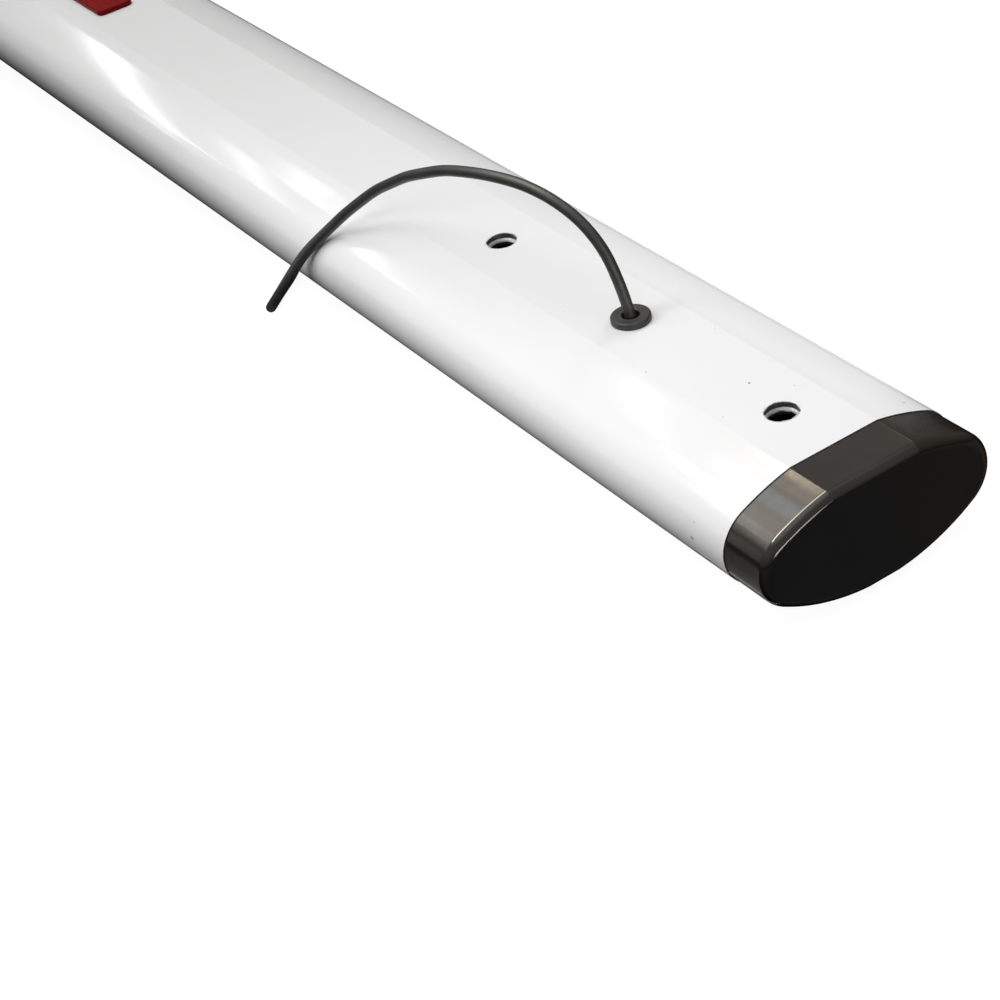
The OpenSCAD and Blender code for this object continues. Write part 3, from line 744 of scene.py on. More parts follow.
# ------------------------------------------------------------------ end caps
def cap_shape(x_tube, s, seed):
    """A push-in cap; s is -1 at the mounting end and +1 at the tip."""
    sh = Shape()
    N_ = (3, 9, 40, 22)
    rings = []                                     # (x outwards, inset, tilt of the normal)
    for x in (0.1, 0.45, 4.0, 8.0, 12.0, 16.0):
        rings.append((x, 0.3 + (0.12 if x < 0.2 else 0.0), 0.0))
    for k in range(1, 13):
        a = math.radians(90.0 * k / 12)
        rings.append((16.0 + 3.85 * math.sin(a), 0.3 + 4.0 * (1 - math.cos(a)), a))
    full = []
    for (x, t, a) in rings:
        h = half_section(t, 1.2, N_)
        full.append([(y, z, ny, nz) for (y, z, ny, nz) in h] + mirrored(h))
    n = len(full[0])

    def X(x):
        return x_tube + s * x

    def nr(p, a):
        return unit((s * math.sin(a), p[2] * math.cos(a), p[3] * math.cos(a)))

    for (ra, la), (rb, lb) in zip(zip(rings, full), zip(rings[1:], full[1:])):
        for k in range(n):
            j = (k + 1) % n
            p, q, u, v = la[k], la[j], lb[j], lb[k]
            n2 = [nr(p, ra[2]), nr(q, ra[2]), nr(u, rb[2]), nr(v, rb[2])]
            if k == n - 1:
                n2 = [unit((n2[0][0], 0, 1)), unit((n2[1][0], 0, 1)), unit((n2[2][0], 0, 1)), unit((n2[3][0], 0, 1))]
                aa, ab = ra[2], rb[2]
                n2 = [(s * math.sin(aa), 0, math.cos(aa))] * 2 + [(s * math.sin(ab), 0, math.cos(ab))] * 2
            if k == len(full[0]) // 2 - 1:
                aa, ab = ra[2], rb[2]
                n2 = [(s * math.sin(aa), 0, -math.cos(aa))] * 2 + [(s * math.sin(ab), 0, -math.cos(ab))] * 2
            sh.face([(X(ra[0]), p[0], p[1]), (X(ra[0]), q[0], q[1]), (X(rb[0]), u[0], u[1]), (X(rb[0]), v[0], v[1])], n2, 0)
    # end face: rings that shrink to the middle with a slight crown
    last = full[-1]
    cyz = (0.0, -21.0)
    prev, pt, px = last, 1.0, rings[-1][0]
    for kk, t in enumerate((0.93, 0.8, 0.6, 0.4, 0.2, 0.06)):
        x = 20.0 - 0.15 * t * t
        cur = [(cyz[0] + (p[0] - cyz[0]) * t, cyz[1] + (p[1] - cyz[1]) * t, p[2], p[3]) for p in last]

        def cn(p, tt):
            return unit((s, 0.006 * (p[0] - cyz[0]) / 20, 0.006 * (p[1] - cyz[1]) / 20)) if tt < 0.99 else (s, 0, 0)

        for k in range(n):
            j = (k + 1) % n
            sh.face([(X(px), prev[k][0], prev[k][1]), (X(px), prev[j][0], prev[j][1]),
                     (X(x), cur[j][0], cur[j][1]), (X(x), cur[k][0], cur[k][1])],
                    [cn(prev[k], pt), cn(prev[j], pt), cn(cur[j], t), cn(cur[k], t)], 0)
        prev, pt, px = cur, t, x
    sh.face([(X(px), p[0], p[1]) for p in prev], [(s, 0, 0)] * n, 0)
    # inside: rim, inner wall, back of the end face
    h_in = half_section(2.8, 0.8, N_)
    inner = [(y, z, ny, nz) for (y, z, ny, nz) in h_in] + mirrored(h_in)
    for k in range(n):
        j = (k + 1) % n
        sh.face([(X(0.1), full[0][k][0], full[0][k][1]), (X(0.1), full[0][j][0], full[0][j][1]),
                 (X(0.1), inner[j][0], inner[j][1]), (X(0.1), inner[k][0], inner[k][1])], [(-s, 0, 0)] * 4, 0)
        p, q = inner[k], inner[j]
        sh.face([(X(0.1), p[0], p[1]), (X(0.1), q[0], q[1]), (X(17.2), q[0], q[1]), (X(17.2), p[0], p[1])],
                [unit((0, -p[2], -p[3])), unit((0, -q[2], -q[3]))] * 1 + [unit((0, -q[2], -q[3])), unit((0, -p[2], -p[3]))], 0)
    sh.face([(X(17.2), p[0], p[1]) for p in inner], [(-s, 0, 0)] * n, 0)
    # two spring tongues with rounded tips, and two ribs
    for sy in (1, -1):
        arc_o = [p for p in half_section(2.3, 0.9, N_) if p[0] >= 31.0]
        arc_i = [p for p in half_section(4.3, 0.9, N_) if p[0] >= 31.0]
        k_ = min(len(arc_o), len(arc_i))

        def pick(a, i):
            f = i * (len(a) - 1) / 15.0
            j = min(int(f), len(a) - 2)
            return tuple(lerp(a[j][c], a[j + 1][c], f - j) for c in range(4))

        prof = []
        for i in range(16):
            prof.append(pick(arc_o, i))
        prof_i = [pick(arc_i, i) for i in range(16)]
        xs_ = [3.0, 1.0, -8.0, -16.0, -20.0, -21.4, -22.0]
        thin = [0.0, 0.0, 0.0, 0.0, 0.12, 0.45, 0.9]

        def P(i, k, outer):
            o, q = prof[i], prof_i[i]
            f = thin[k] / 2.0 if outer else 1 - thin[k] / 2.0 * 0.6
            return (X(xs_[k]), sy * lerp(o[0], q[0], f), lerp(o[1], q[1], f))

        for k in range(len(xs_) - 1):
            for i in range(15):
                a, b = prof[i], prof[i + 1]
                no = [(0, sy * a[2], a[3]), (0, sy * b[2], b[3])]
                sh.face([P(i, k, True), P(i + 1, k, True), P(i + 1, k + 1, True), P(i, k + 1, True)], [no[0], no[1], no[1], no[0]], 0)
                ni = [(0, -sy * a[2], -a[3]), (0, -sy * b[2], -b[3])]
                sh.face([P(i, k, False), P(i + 1, k, False), P(i + 1, k + 1, False), P(i, k + 1, False)], [ni[0], ni[1], ni[1], ni[0]], 0)
            for i, d in ((0, 1), (15, -1)):
                e = prof[i]
                t_ = unit((0, -sy * d * abs(e[3]) if i == 0 else -sy * abs(e[3]), 0.3 * d))
                sh.face([P(i, k, True), P(i, k + 1, True), P(i, k + 1, False), P(i, k, False)], [t_] * 4, 0)
        for k, d in ((0, s), (len(xs_) - 1, -s)):
            for i in range(15):
                sh.face([P(i, k, True), P(i + 1, k, True), P(i + 1, k, False), P(i, k, False)], [(d, 0, 0)] * 4, 0)
    for y in (-14.0, 14.0):
        x0, x1, z0, z1 = 11.2, 17.25, -36.0, -4.0
        c = 0.35
        ring0 = [(y - 0.8, z0), (y + 0.8, z0), (y + 0.8, z1), (y - 0.8, z1)]
        ring1 = [(y - 0.8 + c, z0 + c), (y + 0.8 - c, z0 + c), (y + 0.8 - c, z1 - c), (y - 0.8 + c, z1 - c)]
        for k in range(4):
            j = (k + 1) % 4
            mid = ((ring0[k][0] + ring0[j][0]) / 2 - y, (ring0[k][1] + ring0[j][1]) / 2 + 20.0)
            nn = unit((0, mid[0] if abs(mid[0]) > 0.5 else 0, mid[1] if abs(mid[0]) <= 0.5 else 0))
            sh.face([(X(x0 + c), *ring0[k]), (X(x0 + c), *ring0[j]), (X(x1), *ring0[j]), (X(x1), *ring0[k])], [nn] * 4, 0)
            n3 = unit((-s, nn[1], nn[2]))
            sh.face([(X(x0), *ring1[k]), (X(x0), *ring1[j]), (X(x0 + c), *ring0[j]), (X(x0 + c), *ring0[k])], [n3] * 4, 0)
        sh.face([(X(x0), *p) for p in ring1], [(-s, 0, 0)] * 4, 0)
        sh.face([(X(x1), *p) for p in ring0], [(s, 0, 0)] * 4, 0)
    return sh


cap_shape(X_END, -1.0, 1).build("mount_cap_moulding", [M["cap"]], "mount_cap", "cap_plastic", ["mount_end_cap"])
cap_shape(X_TIP, 1.0, 2).build("tip_cap_moulding", [M["cap"]], "tip_cap", "cap_plastic", ["tip_end_cap"])

# ------------------------------------------------------------------ grommet
gr = Shape()
prof = round_corners([(3.0, -6.4, 0.4), (6.45, -6.4, 0.7), (6.45, -4.5, 0.35), (4.95, -4.5, 0.2), (4.95, 0.02, 0.0),
                      (6.98, 0.02, 0.12), (6.98, 2.38, 0.75), (5.2, 2.30, 1.5), (4.3, 2.16, 1.0), (3.0, 2.38, 0.55)], True, 6)
lathe(gr, prof, up_at(0, 0, 0), 96, 0, True, lambda i, k: 0.035 * noise.noise(Vector((1.6 * math.cos(k * 0.0654), 1.6 * math.sin(k * 0.0654), i * 0.11))))
gr.build("rubber_grommet", [M["grommet"]], "boom", "grommet_rubber", ["cable_grommet"])


# ------------------------------------------------------------------ marker lamp lenses
def rr(L, W, r, z, n=7):
    """A round-cornered rectangle: (x, y, z, nx, ny) points, counter-clockwise."""
    out = []
    for cx, cy, a0 in ((1, 1, 0), (-1, 1, 90), (-1, -1, 180), (1, -1, 270)):
        for k in range(n + 1):
            a = math.radians(a0 + 90.0 * k / n)
            out.append((cx * (L / 2 - r) + r * math.cos(a), cy * (W / 2 - r) + r * math.sin(a), z, math.cos(a), math.sin(a)))
    return out


def lens_shape(sh, cx, cy):
    L, W, z0, zt = 129.9, 17.4, 0.4, 2.4
    fr = 0.75

    def put(p):
        return (cx + p[0], cy + p[1], p[2])

    rings = [(rr(L, W, 3.0, z0), 0.0), (rr(L, W, 3.0, zt - fr), 0.0)]
    for k in range(1, 6):
        a = math.radians(18 * k)
        d = fr * (1 - math.cos(a))
        rings.append((rr(L - 2 * d, W - 2 * d, 3.0 - d, zt - fr + fr * math.sin(a)), a))
    n = len(rings[0][0])
    for (la, aa), (lb, ab) in zip(rings, rings[1:]):
        for k in range(n):
            j = (k + 1) % n
            nn = [(p[3] * math.cos(a), p[4] * math.cos(a), math.sin(a)) for p, a in ((la[k], aa), (la[j], aa), (lb[j], ab), (lb[k], ab))]
            sh.face([put(la[k]), put(la[j]), put(lb[j]), put(lb[k])], nn, 0)
    ring = rings[-1][0]
    # shallow optic ribs across the lens, inside a plain border
    hx, hy, ribs = L / 2 - 3.4, W / 2 - 2.5, 46
    pitch = 2 * hx / ribs
    cols = [-hx + pitch * k / 5 for k in range(ribs * 5 + 1)]
    rows = [(-hy, 0.0), (-hy + 0.7, 1.0), (hy - 0.7, 1.0), (hy, 0.0)]
    dep = 0.14

    def top(x, f):
        ph = 2 * math.pi * (x + hx) / pitch
        z = zt - dep * (0.5 - 0.5 * math.cos(ph)) * f
        return z, unit((dep * 0.5 * math.sin(ph) * 2 * math.pi / pitch * f, 0.0, 1.0))

    for xa, xb in zip(cols, cols[1:]):
        for (ya, fa), (yb, fb) in zip(rows, rows[1:]):
            pts, nn = [], []
            for x, y, f in ((xa, ya, fa), (xb, ya, fa), (xb, yb, fb), (xa, yb, fb)):
                z, q = top(x, f)
                pts.append((cx + x, cy + y, z))
                nn.append(q)
            sh.face(pts, nn, 0)
    verts = [Vector((p[0], p[1])) for p in ring]
    edges = [(k, (k + 1) % n) for k in range(n)]
    inner = [(x, -hy) for x in cols] + [(hx, y) for y, _ in rows[1:]] + [(x, hy) for x in cols[::-1][1:]] + [(-hx, y) for y, _ in rows[::-1][1:-1]]
    b = len(verts)
    verts += [Vector(p) for p in inner]
    edges += [(b + k, b + (k + 1) % len(inner)) for k in range(len(inner))]
    co, _, faces, _, _, _ = geometry.delaunay_2d_cdt(verts, edges, [], 1, 1e-7)
    for f in faces:
        c = sum((co[i] for i in f), Vector((0, 0))) / len(f)
        if abs(c.x) < hx - 1e-6 and abs(c.y) < hy - 1e-6:
            continue
        sh.face([(cx + co[i].x, cy + co[i].y, zt) for i in f], [(0, 0, 1)] * len(f), 0)
    # underside: rim, cavity walls, cavity roof
    a_, b_ = rr(L, W, 3.0, z0), rr(L - 3.1, W - 3.1, 1.6, z0)
    c_ = rr(L - 3.1, W - 3.1, 1.6, 1.4)
    for k in range(n):
        j = (k + 1) % n
        sh.face([put(a_[k]), put(a_[j]), put(b_[j]), put(b_[k])], [(0, 0, -1)] * 4, 0)
        nn = [(-p[3], -p[4], 0) for p in (b_[k], b_[j], c_[j], c_[k])]
        sh.face([put(b_[k]), put(b_[j]), put(c_[j]), put(c_[k])], nn, 0)
    sh.face([put(p) for p in c_], [(0, 0, -1)] * n, 0)


ls = Shape()
for lx in LAMP_X:
    lens_shape(ls, lx, LAMP_Y)
ls.build("marker_lamp_lenses", [M["lens"]], "boom", "lens_red", ["lamp_lenses"])


# ------------------------------------------------------------------ coil ties
def chamfer_box(sh, c, size, ch, place, mat=0):
    hx, hy, hz = (v / 2 for v in size)

    def P(x, y, z):
        return place(c[0] + x, c[1] + y, c[2] + z)

    H = (hx, hy, hz)
    for ax in range(3):
        u, v = (ax + 1) % 3, (ax + 2) % 3
        for s in (1, -1):
            pts = []
            for su, sv in ((1, 1), (-1, 1), (-1, -1), (1, -1)):
                q = [0, 0, 0]
                q[ax], q[u], q[v] = s * H[ax], su * (H[u] - ch), sv * (H[v] - ch)
                pts.append(P(*q))
            sh.face(pts if s > 0 else pts[::-1], None, mat)
        for su in (1, -1):
            for sv in (1, -1):
                pts = []
                for (a, fu, fv) in ((1, 1, 0), (-1, 1, 0), (-1, 0, 1), (1, 0, 1)):
                    q = [0, 0, 0]
                    q[ax] = a * (H[ax] - ch)
                    q[u] = su * (H[u] - (0 if fu else ch))
                    q[v] = sv * (H[v] - (0 if fv else ch))
                    pts.append(P(*q))
                nrm = [0, 0, 0]
                nrm[u], nrm[v] = su, sv
                o, e = P(0, 0, 0), P(*nrm)
                sh.face(pts, [unit((e[0] - o[0], e[1] - o[1], e[2] - o[2]))] * 4, mat)
    for sx in (1, -1):
        for sy in (1, -1):
            for sz in (1, -1):
                pts = [P(sx * hx, sy * (hy - ch), sz * (hz - ch)), P(sx * (hx - ch), sy * hy, sz * (hz - ch)), P(sx * (hx - ch), sy * (hy - ch), sz * hz)]
                o, e = P(0, 0, 0), P(sx, sy, sz)
                sh.face(pts, [unit((e[0] - o[0], e[1] - o[1], e[2] - o[2]))] * 3, mat)


ti_ = Shape()
for ang in (60.0, 180.0):
    a0, width = math.radians(ang), 3.9

    def at(r, w, z, a0=a0):
        """r outwards, w along the cord, z up, on the tie's own straight axes"""
        return (560.0 + r * math.cos(a0) - w * math.sin(a0), 78.0 + r * math.sin(a0) + w * math.cos(a0), -42.0 + z)

    hull_o = [(15.05, -0.95, 1.6), (28.95, -0.95, 1.6), (28.95, 8.6, 2.0), (25.0, 12.95, 2.0), (19.0, 12.95, 2.0), (15.05, 8.6, 2.0)]
    hull_i = [(15.95, -0.05, 0.9), (28.05, -0.05, 0.9), (28.05, 8.3, 1.5), (24.6, 12.05, 1.5), (19.4, 12.05, 1.5), (15.95, 8.3, 1.5)]
    po, pi_ = round_corners(hull_o, True, 7), round_corners(hull_i, True, 7)
    w0, w1, ch = 0.2, 0.2 + width, 0.18
    n = len(po)
    no = [unit(((po[(k + 1) % n][1] - po[k - 1][1]), -(po[(k + 1) % n][0] - po[k - 1][0]), 0)) for k in range(n)]

    def nrm(v, w, a0=a0):
        return unit((v[0] * math.cos(a0) - w * math.sin(a0), v[0] * math.sin(a0) + w * math.cos(a0), v[1]))

    for k in range(n):
        j = (k + 1) % n
        ok, oj, ik, ij = po[k], po[j], pi_[k], pi_[j]
        lo_k, lo_j = (ok[0] - ch * no[k][0], ok[1] - ch * no[k][1]), (oj[0] - ch * no[j][0], oj[1] - ch * no[j][1])
        ti_.face([at(ok[0], w0 + ch, ok[1]), at(oj[0], w0 + ch, oj[1]), at(oj[0], w1 - ch, oj[1]), at(ok[0], w1 - ch, ok[1])],
                 [nrm(no[k], 0), nrm(no[j], 0), nrm(no[j], 0), nrm(no[k], 0)], 0)
        ti_.face([at(ik[0], w0, ik[1]), at(ij[0], w0, ij[1]), at(ij[0], w1, ij[1]), at(ik[0], w1, ik[1])],
                 [nrm((-no[k][0], -no[k][1]), 0), nrm((-no[j][0], -no[j][1]), 0)] * 1 + [nrm((-no[j][0], -no[j][1]), 0), nrm((-no[k][0], -no[k][1]), 0)], 0)
        for w, wc, s in ((w0, w0 + ch, -1), (w1, w1 - ch, 1)):
            ti_.face([at(ok[0], wc, ok[1]), at(oj[0], wc, oj[1]), at(lo_j[0], w, lo_j[1]), at(lo_k[0], w, lo_k[1])],
                     [nrm(no[k], s), nrm(no[j], s), nrm(no[j], s), nrm(no[k], s)], 0)
            ti_.face([at(lo_k[0], w, lo_k[1]), at(lo_j[0], w, lo_j[1]), at(ij[0], w, ij[1]), at(ik[0], w, ik[1])],
                     [nrm((0, 0), s)] * 4, 0)
    chamfer_box(ti_, (22.0, 0.2 + width / 2, 14.3), (5.2, 4.0, 3.0), 0.45, at)
    chamfer_box(ti_, (26.2, 0.2 + width / 2, 14.1), (3.4, 3.2, 0.9), 0.15, at)
    for q in range(5):
        chamfer_box(ti_, (25.3 + 0.55 * q, 0.2 + width / 2, 14.6), (0.28, 2.4, 0.22), 0.05, at)
ties = ti_.build("coil_cable_ties", [M["tie"]], "boom", "tie_nylon", ["coil_ties"])

# ------------------------------------------------------------------ plug on the cable's end
axis = along_x(612.0, 58.0, -36.0)
bo_ = Shape()
pr = [(2.06, 0.0, 0), (2.95, 0.0, 0.35)]
for h in (4.0, 7.0, 10.0, 13.0):
    r = 3.0 + 2.0 * h / 16.0
    pr += [(r - 0.03, h, 0.18), (r - 0.62, h + 0.05, 0.2), (r - 0.5, h + 1.2, 0.2), (r + 0.1, h + 1.25, 0.18)]
pr += [(4.97, 16.0, 1.2), (4.97, 18.0, 0), (2.06, 18.0, 0)]
lathe(bo_, round_corners(pr, True, 4), axis, 72)
boot = bo_.build("plug_boot_sleeve", [M["boot"]], "boom", "boot_rubber", ["plug_boot"])

sh_ = Shape()
pr = [(0.0, 18.0, 0), (6.78, 18.0, 0.45), (6.78, 21.6, 0.3), (5.88, 21.6, 0.15), (5.88, 41.4, 0.1), (6.28, 41.6, 0.15),
      (6.28, 42.58, 0.25), (4.62, 42.58, 0.25), (4.62, 28.6, 0.1), (0.0, 28.6, 0)]
lathe(sh_, round_corners(pr, False, 4), axis, 96, closed=False)
shell = sh_.build("plug_shell_body", [M["plug"]], "boom", "plug_plastic", ["plug_shell"])

nu_ = Shape()
pr = [(6.04, 22.1), (6.62, 22.1), (6.86, 22.22), (6.97, 22.5), (6.97, 24.1), (6.97, 24.9), (6.97, 37.1), (6.97, 37.9), (6.97, 39.5),
      (6.86, 39.78), (6.62, 39.9), (6.04, 39.9)]
lathe(nu_, pr, axis, 240, wob=lambda i, k: (-0.42 * (0.5 + 0.5 * math.cos(24 * 2 * math.pi * k / 240)) ** 1.6) if i in (5, 6) else 0.0)
nut = nu_.build("coupling_nut_ring", [M["plug"]], "coupling_nut", "plug_plastic", ["plug_nut"], auto=34.0)

N_CAD = {"plug_insert": "insert", "plug_pins": "brass", "plug_seal": "seal", "inner_lead": "cable", "lead_stop_tie": "nylon",
         "wire_clips": "nylon", "lamp_leads": "lamp_wire", "wire_splices": "splice", "lamp_gaskets": "foam",
         "lamp_boards": "board", "lamp_leds": "led", "lamp_resistors": "resistor"}
for node, key in N_CAD.items():
    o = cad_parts[node]
    o.data.materials.clear()
    o.data.materials.append(M[key])
    o.data.set_sharp_from_angle(angle=math.radians(32.0))

curve.materials.append(M["cable"])

# ------------------------------------------------------------------ floor and backdrop, not part of the object
def stage_material(name, emit, diffuse):
    mt = bpy.data.materials.new(name)
    mt.use_nodes = True
    nt = mt.node_tree
    nt.nodes.clear()
    N = Nodes(nt)
    out = N.new("ShaderNodeOutputMaterial")
    e = N.new("ShaderNodeEmission")
    e.inputs["Color"].default_value = (1, 1, 1, 1)
    e.inputs["Strength"].default_value = emit
    if diffuse > 0:
        d = N.new("ShaderNodeBsdfDiffuse")
        d.inputs["Color"].default_value = (diffuse, diffuse, diffuse, 1)
        a = N.new("ShaderNodeAddShader")
        nt.links.new(e.outputs[0], a.inputs[0])
        nt.links.new(d.outputs[0], a.inputs[1])
        nt.links.new(a.outputs[0], out.inputs[0])
    else:
        nt.links.new(e.outputs[0], out.inputs[0])
    return mt


def only_camera(o):
    o.visible_diffuse = False
    o.visible_glossy = False
    o.visible_transmission = False
    o.visible_volume_scatter = False


fm = bpy.data.meshes.new("studio_floor")
fr_ = [(30.0 * math.cos(math.radians(7.5 * k)), 30.0 * math.sin(math.radians(7.5 * k)), -0.0431) for k in range(48)]
fm.from_pydata(fr_, [], [list(range(48))])
fm.materials.append(stage_material("studio_floor_white", 0.95, 0.12))
floor = bpy.data.objects.new("studio_floor", fm)
scene.collection.objects.link(floor)
only_camera(floor)

dm = bpy.data.meshes.new("studio_backdrop")
dv, df = [], []
for i in range(13):
    e = math.radians(-2 + 92.0 * i / 12)
    for k in range(48):
        a = math.radians(7.5 * k)
        dv.append((29.9 * math.cos(e) * math.cos(a), 29.9 * math.cos(e) * math.sin(a), 29.9 * math.sin(e)))
for i in range(12):
    for k in range(48):
        j = (k + 1) % 48
        df.append((i * 48 + k, i * 48 + j, (i + 1) * 48 + j, (i + 1) * 48 + k))
dm.from_pydata(dv, [], df)
dm.materials.append(stage_material("studio_backdrop_white", 1.0, 0.0))
dome = bpy.data.objects.new("studio_backdrop", dm)
scene.collection.objects.link(dome)
only_camera(dome)
dome.visible_shadow = False

# ------------------------------------------------------------------ studio light: a hall ceiling with rows of strip lights
world = bpy.data.worlds.new("studio_light")
scene.world = world
world.use_nodes = True
wt = world.node_tree
wt.nodes.clear()
N = Nodes(wt)
wout = N.new("ShaderNodeOutputWorld")
bg = N.new("ShaderNodeBackground")
wt.links.new(bg.outputs[0], wout.inputs[0])
tc = N.new("ShaderNodeTexCoord")
sep = N.new("ShaderNodeSeparateXYZ")
wt.links.new(tc.outputs["Generated"], sep.inputs[0])
dx, dy, dz = sep.outputs
zz = N.math("MAXIMUM", dz, 0.02)
px = N.math("DIVIDE", dx, zz)                       # where the ray meets a ceiling one unit up
py = N.math("DIVIDE", dy, zz)
upper = N.step(dz, 0.0, 0.06)

# what lights the object: a soft sky and one wide overhead light
AMBIENT = dict(low=0.006, horizon=0.022, high=0.21)
sky = N.add(AMBIENT["horizon"], N.mul(N.step(dz, 0.10, 0.85), AMBIENT["high"] - AMBIENT["horizon"]))
low = N.mul(N.step(dz, 0.06, 0.0), AMBIENT["low"])
LOBE = unit((0.10, 0.09, 0.98))
dot = N.add(N.add(N.mul(dx, LOBE[0]), N.mul(dy, LOBE[1])), N.mul(dz, LOBE[2]))
lobe = N.mul(N.step(dot, 0.76, 0.99), 2.42)
lighting = N.scaled((1.0, 1.0, 1.0), N.add(N.add(N.mul(sky, upper), low), lobe))


# what its gloss shows: a hall with rows of strip lights, a skylight over the mounting end, a lamp and a pale wall
def strip(c0, y0, y1, w, lean=0.0, bend=0.0, y_bend=0.25, e=0.012, ey=0.02):
    """A row of light along the ceiling: centre c0, half-width w, leaning and then bending away with py."""
    c = N.add(c0, N.mul(py, lean))
    if bend:
        past = N.math("MAXIMUM", N.add(py, -y_bend), 0.0)
        c = N.add(c, N.mul(past, bend))
    off = N.math("ABSOLUTE", N.add(px, N.mul(c, -1.0)))
    return N.mul(N.step(off, w + e, max(0.0, w - e)), N.span(py, y0, y1, ey))


tint = N.mix(N.step(dy, -0.56, -0.66), (1.0, 0.94, 0.85, 1), (0.58, 0.49, 0.40, 1))
room = N.scaled(tint, N.mul(N.add(0.13, N.mul(N.step(dz, 0.0, 0.55), 0.25)), upper))
dim = N.mul(N.step(dz, 0.02, -0.10), N.step(dx, 0.1, -0.3))              # the dark floor before the mounting end
dim_c = N.mix(N.step(dy, -0.75, -0.45), (0.15, 0.105, 0.075, 1), (0.068, 0.068, 0.070, 1))
room = N.vadd(room, N.scaled(dim_c, dim))
room = N.vadd(room, N.scaled((1.0, 0.97, 0.93), N.add(low, N.mul(lobe, 0.32))))
pale = N.mul(N.mul(N.step(py, 0.16, 0.34), N.step(py, 1.9, 0.5)), N.mul(N.step(px, 0.925, 0.94), N.step(px, 2.0, 1.1)))
room = N.vadd(room, N.scaled((1.0, 0.98, 0.95), N.mul(pale, 0.25)))
grain = N.noise(tc.outputs["Generated"], 90.0, 3.0, 0.7)
speckle = N.add(0.35, N.mul(N.step(grain, 0.40, 0.60), 0.9))
ROWS = [(strip(1.018, -0.24, 0.09, 0.020, lean=-0.155), 2.8, speckle),
        (strip(0.985, 0.11, 0.80, 0.022, lean=-0.10, bend=0.55, y_bend=0.30), 3.2, None),
        (strip(1.368, -0.15, 0.07, 0.008), 2.5, None),
        (strip(1.352, 0.09, 0.36, 0.028, bend=0.35, y_bend=0.26), 4.2, None),
        (strip(1.435, -0.19, 0.03, 0.030, lean=-0.12), 4.6, speckle),
        (strip(1.535, 0.00, 0.24, 0.020, lean=-0.12), 5.2, None),
        (strip(1.762, -0.155, 0.30, 0.036, lean=-0.30), 8.0, None),
        (strip(1.690, 0.26, 0.72, 0.030, bend=0.75, y_bend=0.28), 4.2, None)]
for (m, k, extra) in ROWS:
    m = N.mul(m, N.step(dz, 0.1, 0.16))
    if extra is not None:
        m = N.mul(m, extra)
    room = N.vadd(room, N.scaled((1.0, 1.0, 1.0), N.mul(m, k)))
# the skylight: warm at both ends, cool in the middle, with thin bars
sk = N.mul(N.step(px, 0.60, 0.62), N.math("MAXIMUM", N.step(px, 0.952, 0.942), N.mul(N.step(py, 0.12, 0.26), N.step(dx, 0.684, 0.677))))
sk = N.mul(sk, N.mul(N.step(py, -0.40, -0.36), N.step(py, 1.75, 0.35)))
cool = N.span(py, -0.085, 0.062, 0.02)
glow = N.mul(N.span(py, -0.330, -0.235, 0.02), N.step(px, 0.900, 0.934))
skc = N.mix(cool, (2.75, 2.42, 2.05, 1), (3.0, 3.08, 3.02, 1))
skc = N.mix(N.step(py, 0.10, 0.30), skc, (2.1, 1.83, 1.60, 1))
skc = N.mix(N.step(py, -0.315, -0.345), skc, (1.9, 1.65, 1.35, 1))
skc = N.mix(glow, skc, (10.5, 8.6, 6.3, 1))
bars = N.add(N.add(N.span(py, -0.112, -0.070, 0.008), N.span(py, 0.070, 0.084, 0.006)),
             N.add(N.span(py, -0.200, -0.194, 0.004), N.mul(N.span(px, 0.8965, 0.8995, 0.0015), 0.7)))
room = N.vadd(room, N.scaled(skc, N.mul(sk, N.mul(N.add(0.72, N.mul(N.step(px, 0.876, 0.905), 0.26)), N.add(1.0, N.mul(bars, -0.38))))))
# the lamp over the mounting end and the lit wall behind the camera
lamp = N.mul(N.span(px, 0.30, 0.52, 0.03), N.span(py, -0.30, 0.62, 0.05))
room = N.vadd(room, N.scaled((1.0, 0.92, 0.76), N.mul(lamp, N.add(9.0, N.mul(N.step(py, 0.0, 0.35), 7.0)))))
wall = N.mul(N.mul(N.span(dz, 0.10, 0.20, 0.02), N.step(dx, -0.80, -0.90)), N.span(dy, -0.28, 0.34, 0.05))
room = N.vadd(room, N.scaled((1.0, 0.94, 0.82), N.mul(wall, 9.0)))
# the pale wall and floor beyond the far side, with a darker skirting line, and the pale floor before the near side
far = N.mul(N.mul(N.step(dy, -0.45, -0.52), N.span(dz, -0.62, 0.28, 0.05)), N.step(dx, 0.640, 0.662))
far = N.mul(far, N.add(0.52, N.add(N.mul(N.step(dx, 0.74, 0.82), -0.30), N.add(N.mul(N.span(dz, -0.20, -0.13, 0.02), -0.28), N.mul(N.step(dz, -0.22, -0.28), 0.14)))))
room = N.vadd(room, N.scaled((1.0, 1.0, 1.0), far))
near_floor = N.mul(N.mul(N.step(dz, -0.10, -0.26), N.span(dx, 0.40, 0.668, 0.008)), N.step(dy, -0.35, -0.05))
room = N.vadd(room, N.scaled((1.0, 0.97, 0.92), N.mul(near_floor, 0.30)))
near_wall = N.mul(N.mul(N.span(dz, 0.0, 0.30, 0.05), N.step(dy, 0.35, 0.60)), N.step(dx, 0.655, 0.68))
room = N.vadd(room, N.scaled((1.0, 1.0, 1.0), N.mul(near_wall, 0.5)))
row = N.mul(N.span(py, -1.9, -1.0, 0.05), N.span(px, 1.0, 2.1, 0.1))          # a lit pipe run over the far side
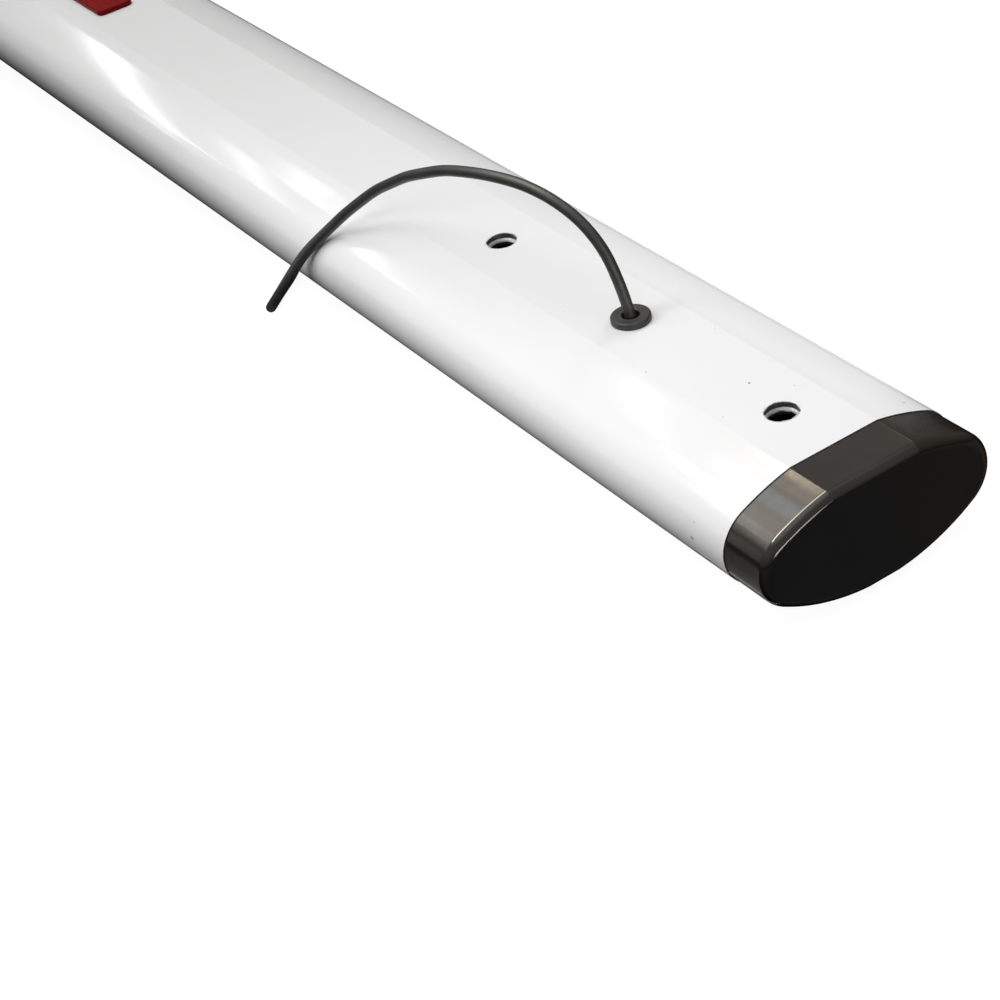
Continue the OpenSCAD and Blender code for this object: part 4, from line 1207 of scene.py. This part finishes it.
room = N.vadd(room, N.scaled((1.0, 0.78, 0.56), N.mul(N.mul(row, N.mul(N.step(dx, 0.655, 0.635), N.step(N.add(px, N.mul(py, 0.95)), 0.02, 0.08))), 2.4)))
glossy = N.new("ShaderNodeLightPath").outputs["Is Glossy Ray"]
tot = N.vadd(N.scaled(lighting, N.math("SUBTRACT", 1.0, glossy)), N.scaled(room, glossy))
wt.links.new(tot, bg.inputs["Color"])
bg.inputs["Strength"].default_value = 1.0


def area(name, loc, target, sx, sy, power, spread=180.0, colour=(1, 1, 1), glossy=False):
    ld = bpy.data.lights.new(name, "AREA")
    ld.shape = "RECTANGLE"
    ld.size, ld.size_y = sx, sy
    ld.energy = power
    ld.spread = math.radians(spread)
    ld.color = colour
    o = bpy.data.objects.new(name, ld)
    scene.collection.objects.link(o)
    o.location = loc
    o.rotation_mode = "QUATERNION"
    o.rotation_quaternion = (Vector(target) - Vector(loc)).to_track_quat("-Z", "Y")
    o.visible_glossy = glossy
    o.visible_camera = False
    return o


area("fill_mounting_near", (0.09, 0.395, 0.215), (-0.18, 0.0, 0.0), 0.22, 0.22, 0.475, 122)
area("fill_mounting_far", (0.12, -0.50, 0.20), (-0.35, 0.0, 0.0), 0.3, 0.3, 0.60, 106)
area("fill_mounting_top", (0.36, 0.26, 0.36), (0.16, 0.0, 0.0), 0.24, 0.24, 0.145, 110)
area("fill_tip_near", (3.20, 0.95, 0.40), (2.6, 0.0, -0.02), 0.8, 0.4, 1.4, 120)
area("fill_tip_far", (3.20, -0.90, 0.42), (2.6, 0.0, -0.02), 0.8, 0.4, 1.8, 120)
area("fill_middle_near", (1.7, 1.2, 0.6), (1.7, 0.0, -0.02), 1.6, 0.4, 0.8, 90)
area("fill_middle_far", (1.7, -1.2, 0.6), (1.7, 0.0, -0.02), 1.6, 0.4, 1.4, 90)

scene.view_settings.view_transform = "Standard"
scene.view_settings.look = "None"
scene.view_settings.exposure = 0.0
scene.view_settings.gamma = 1.0

bpy.context.view_layer.update()
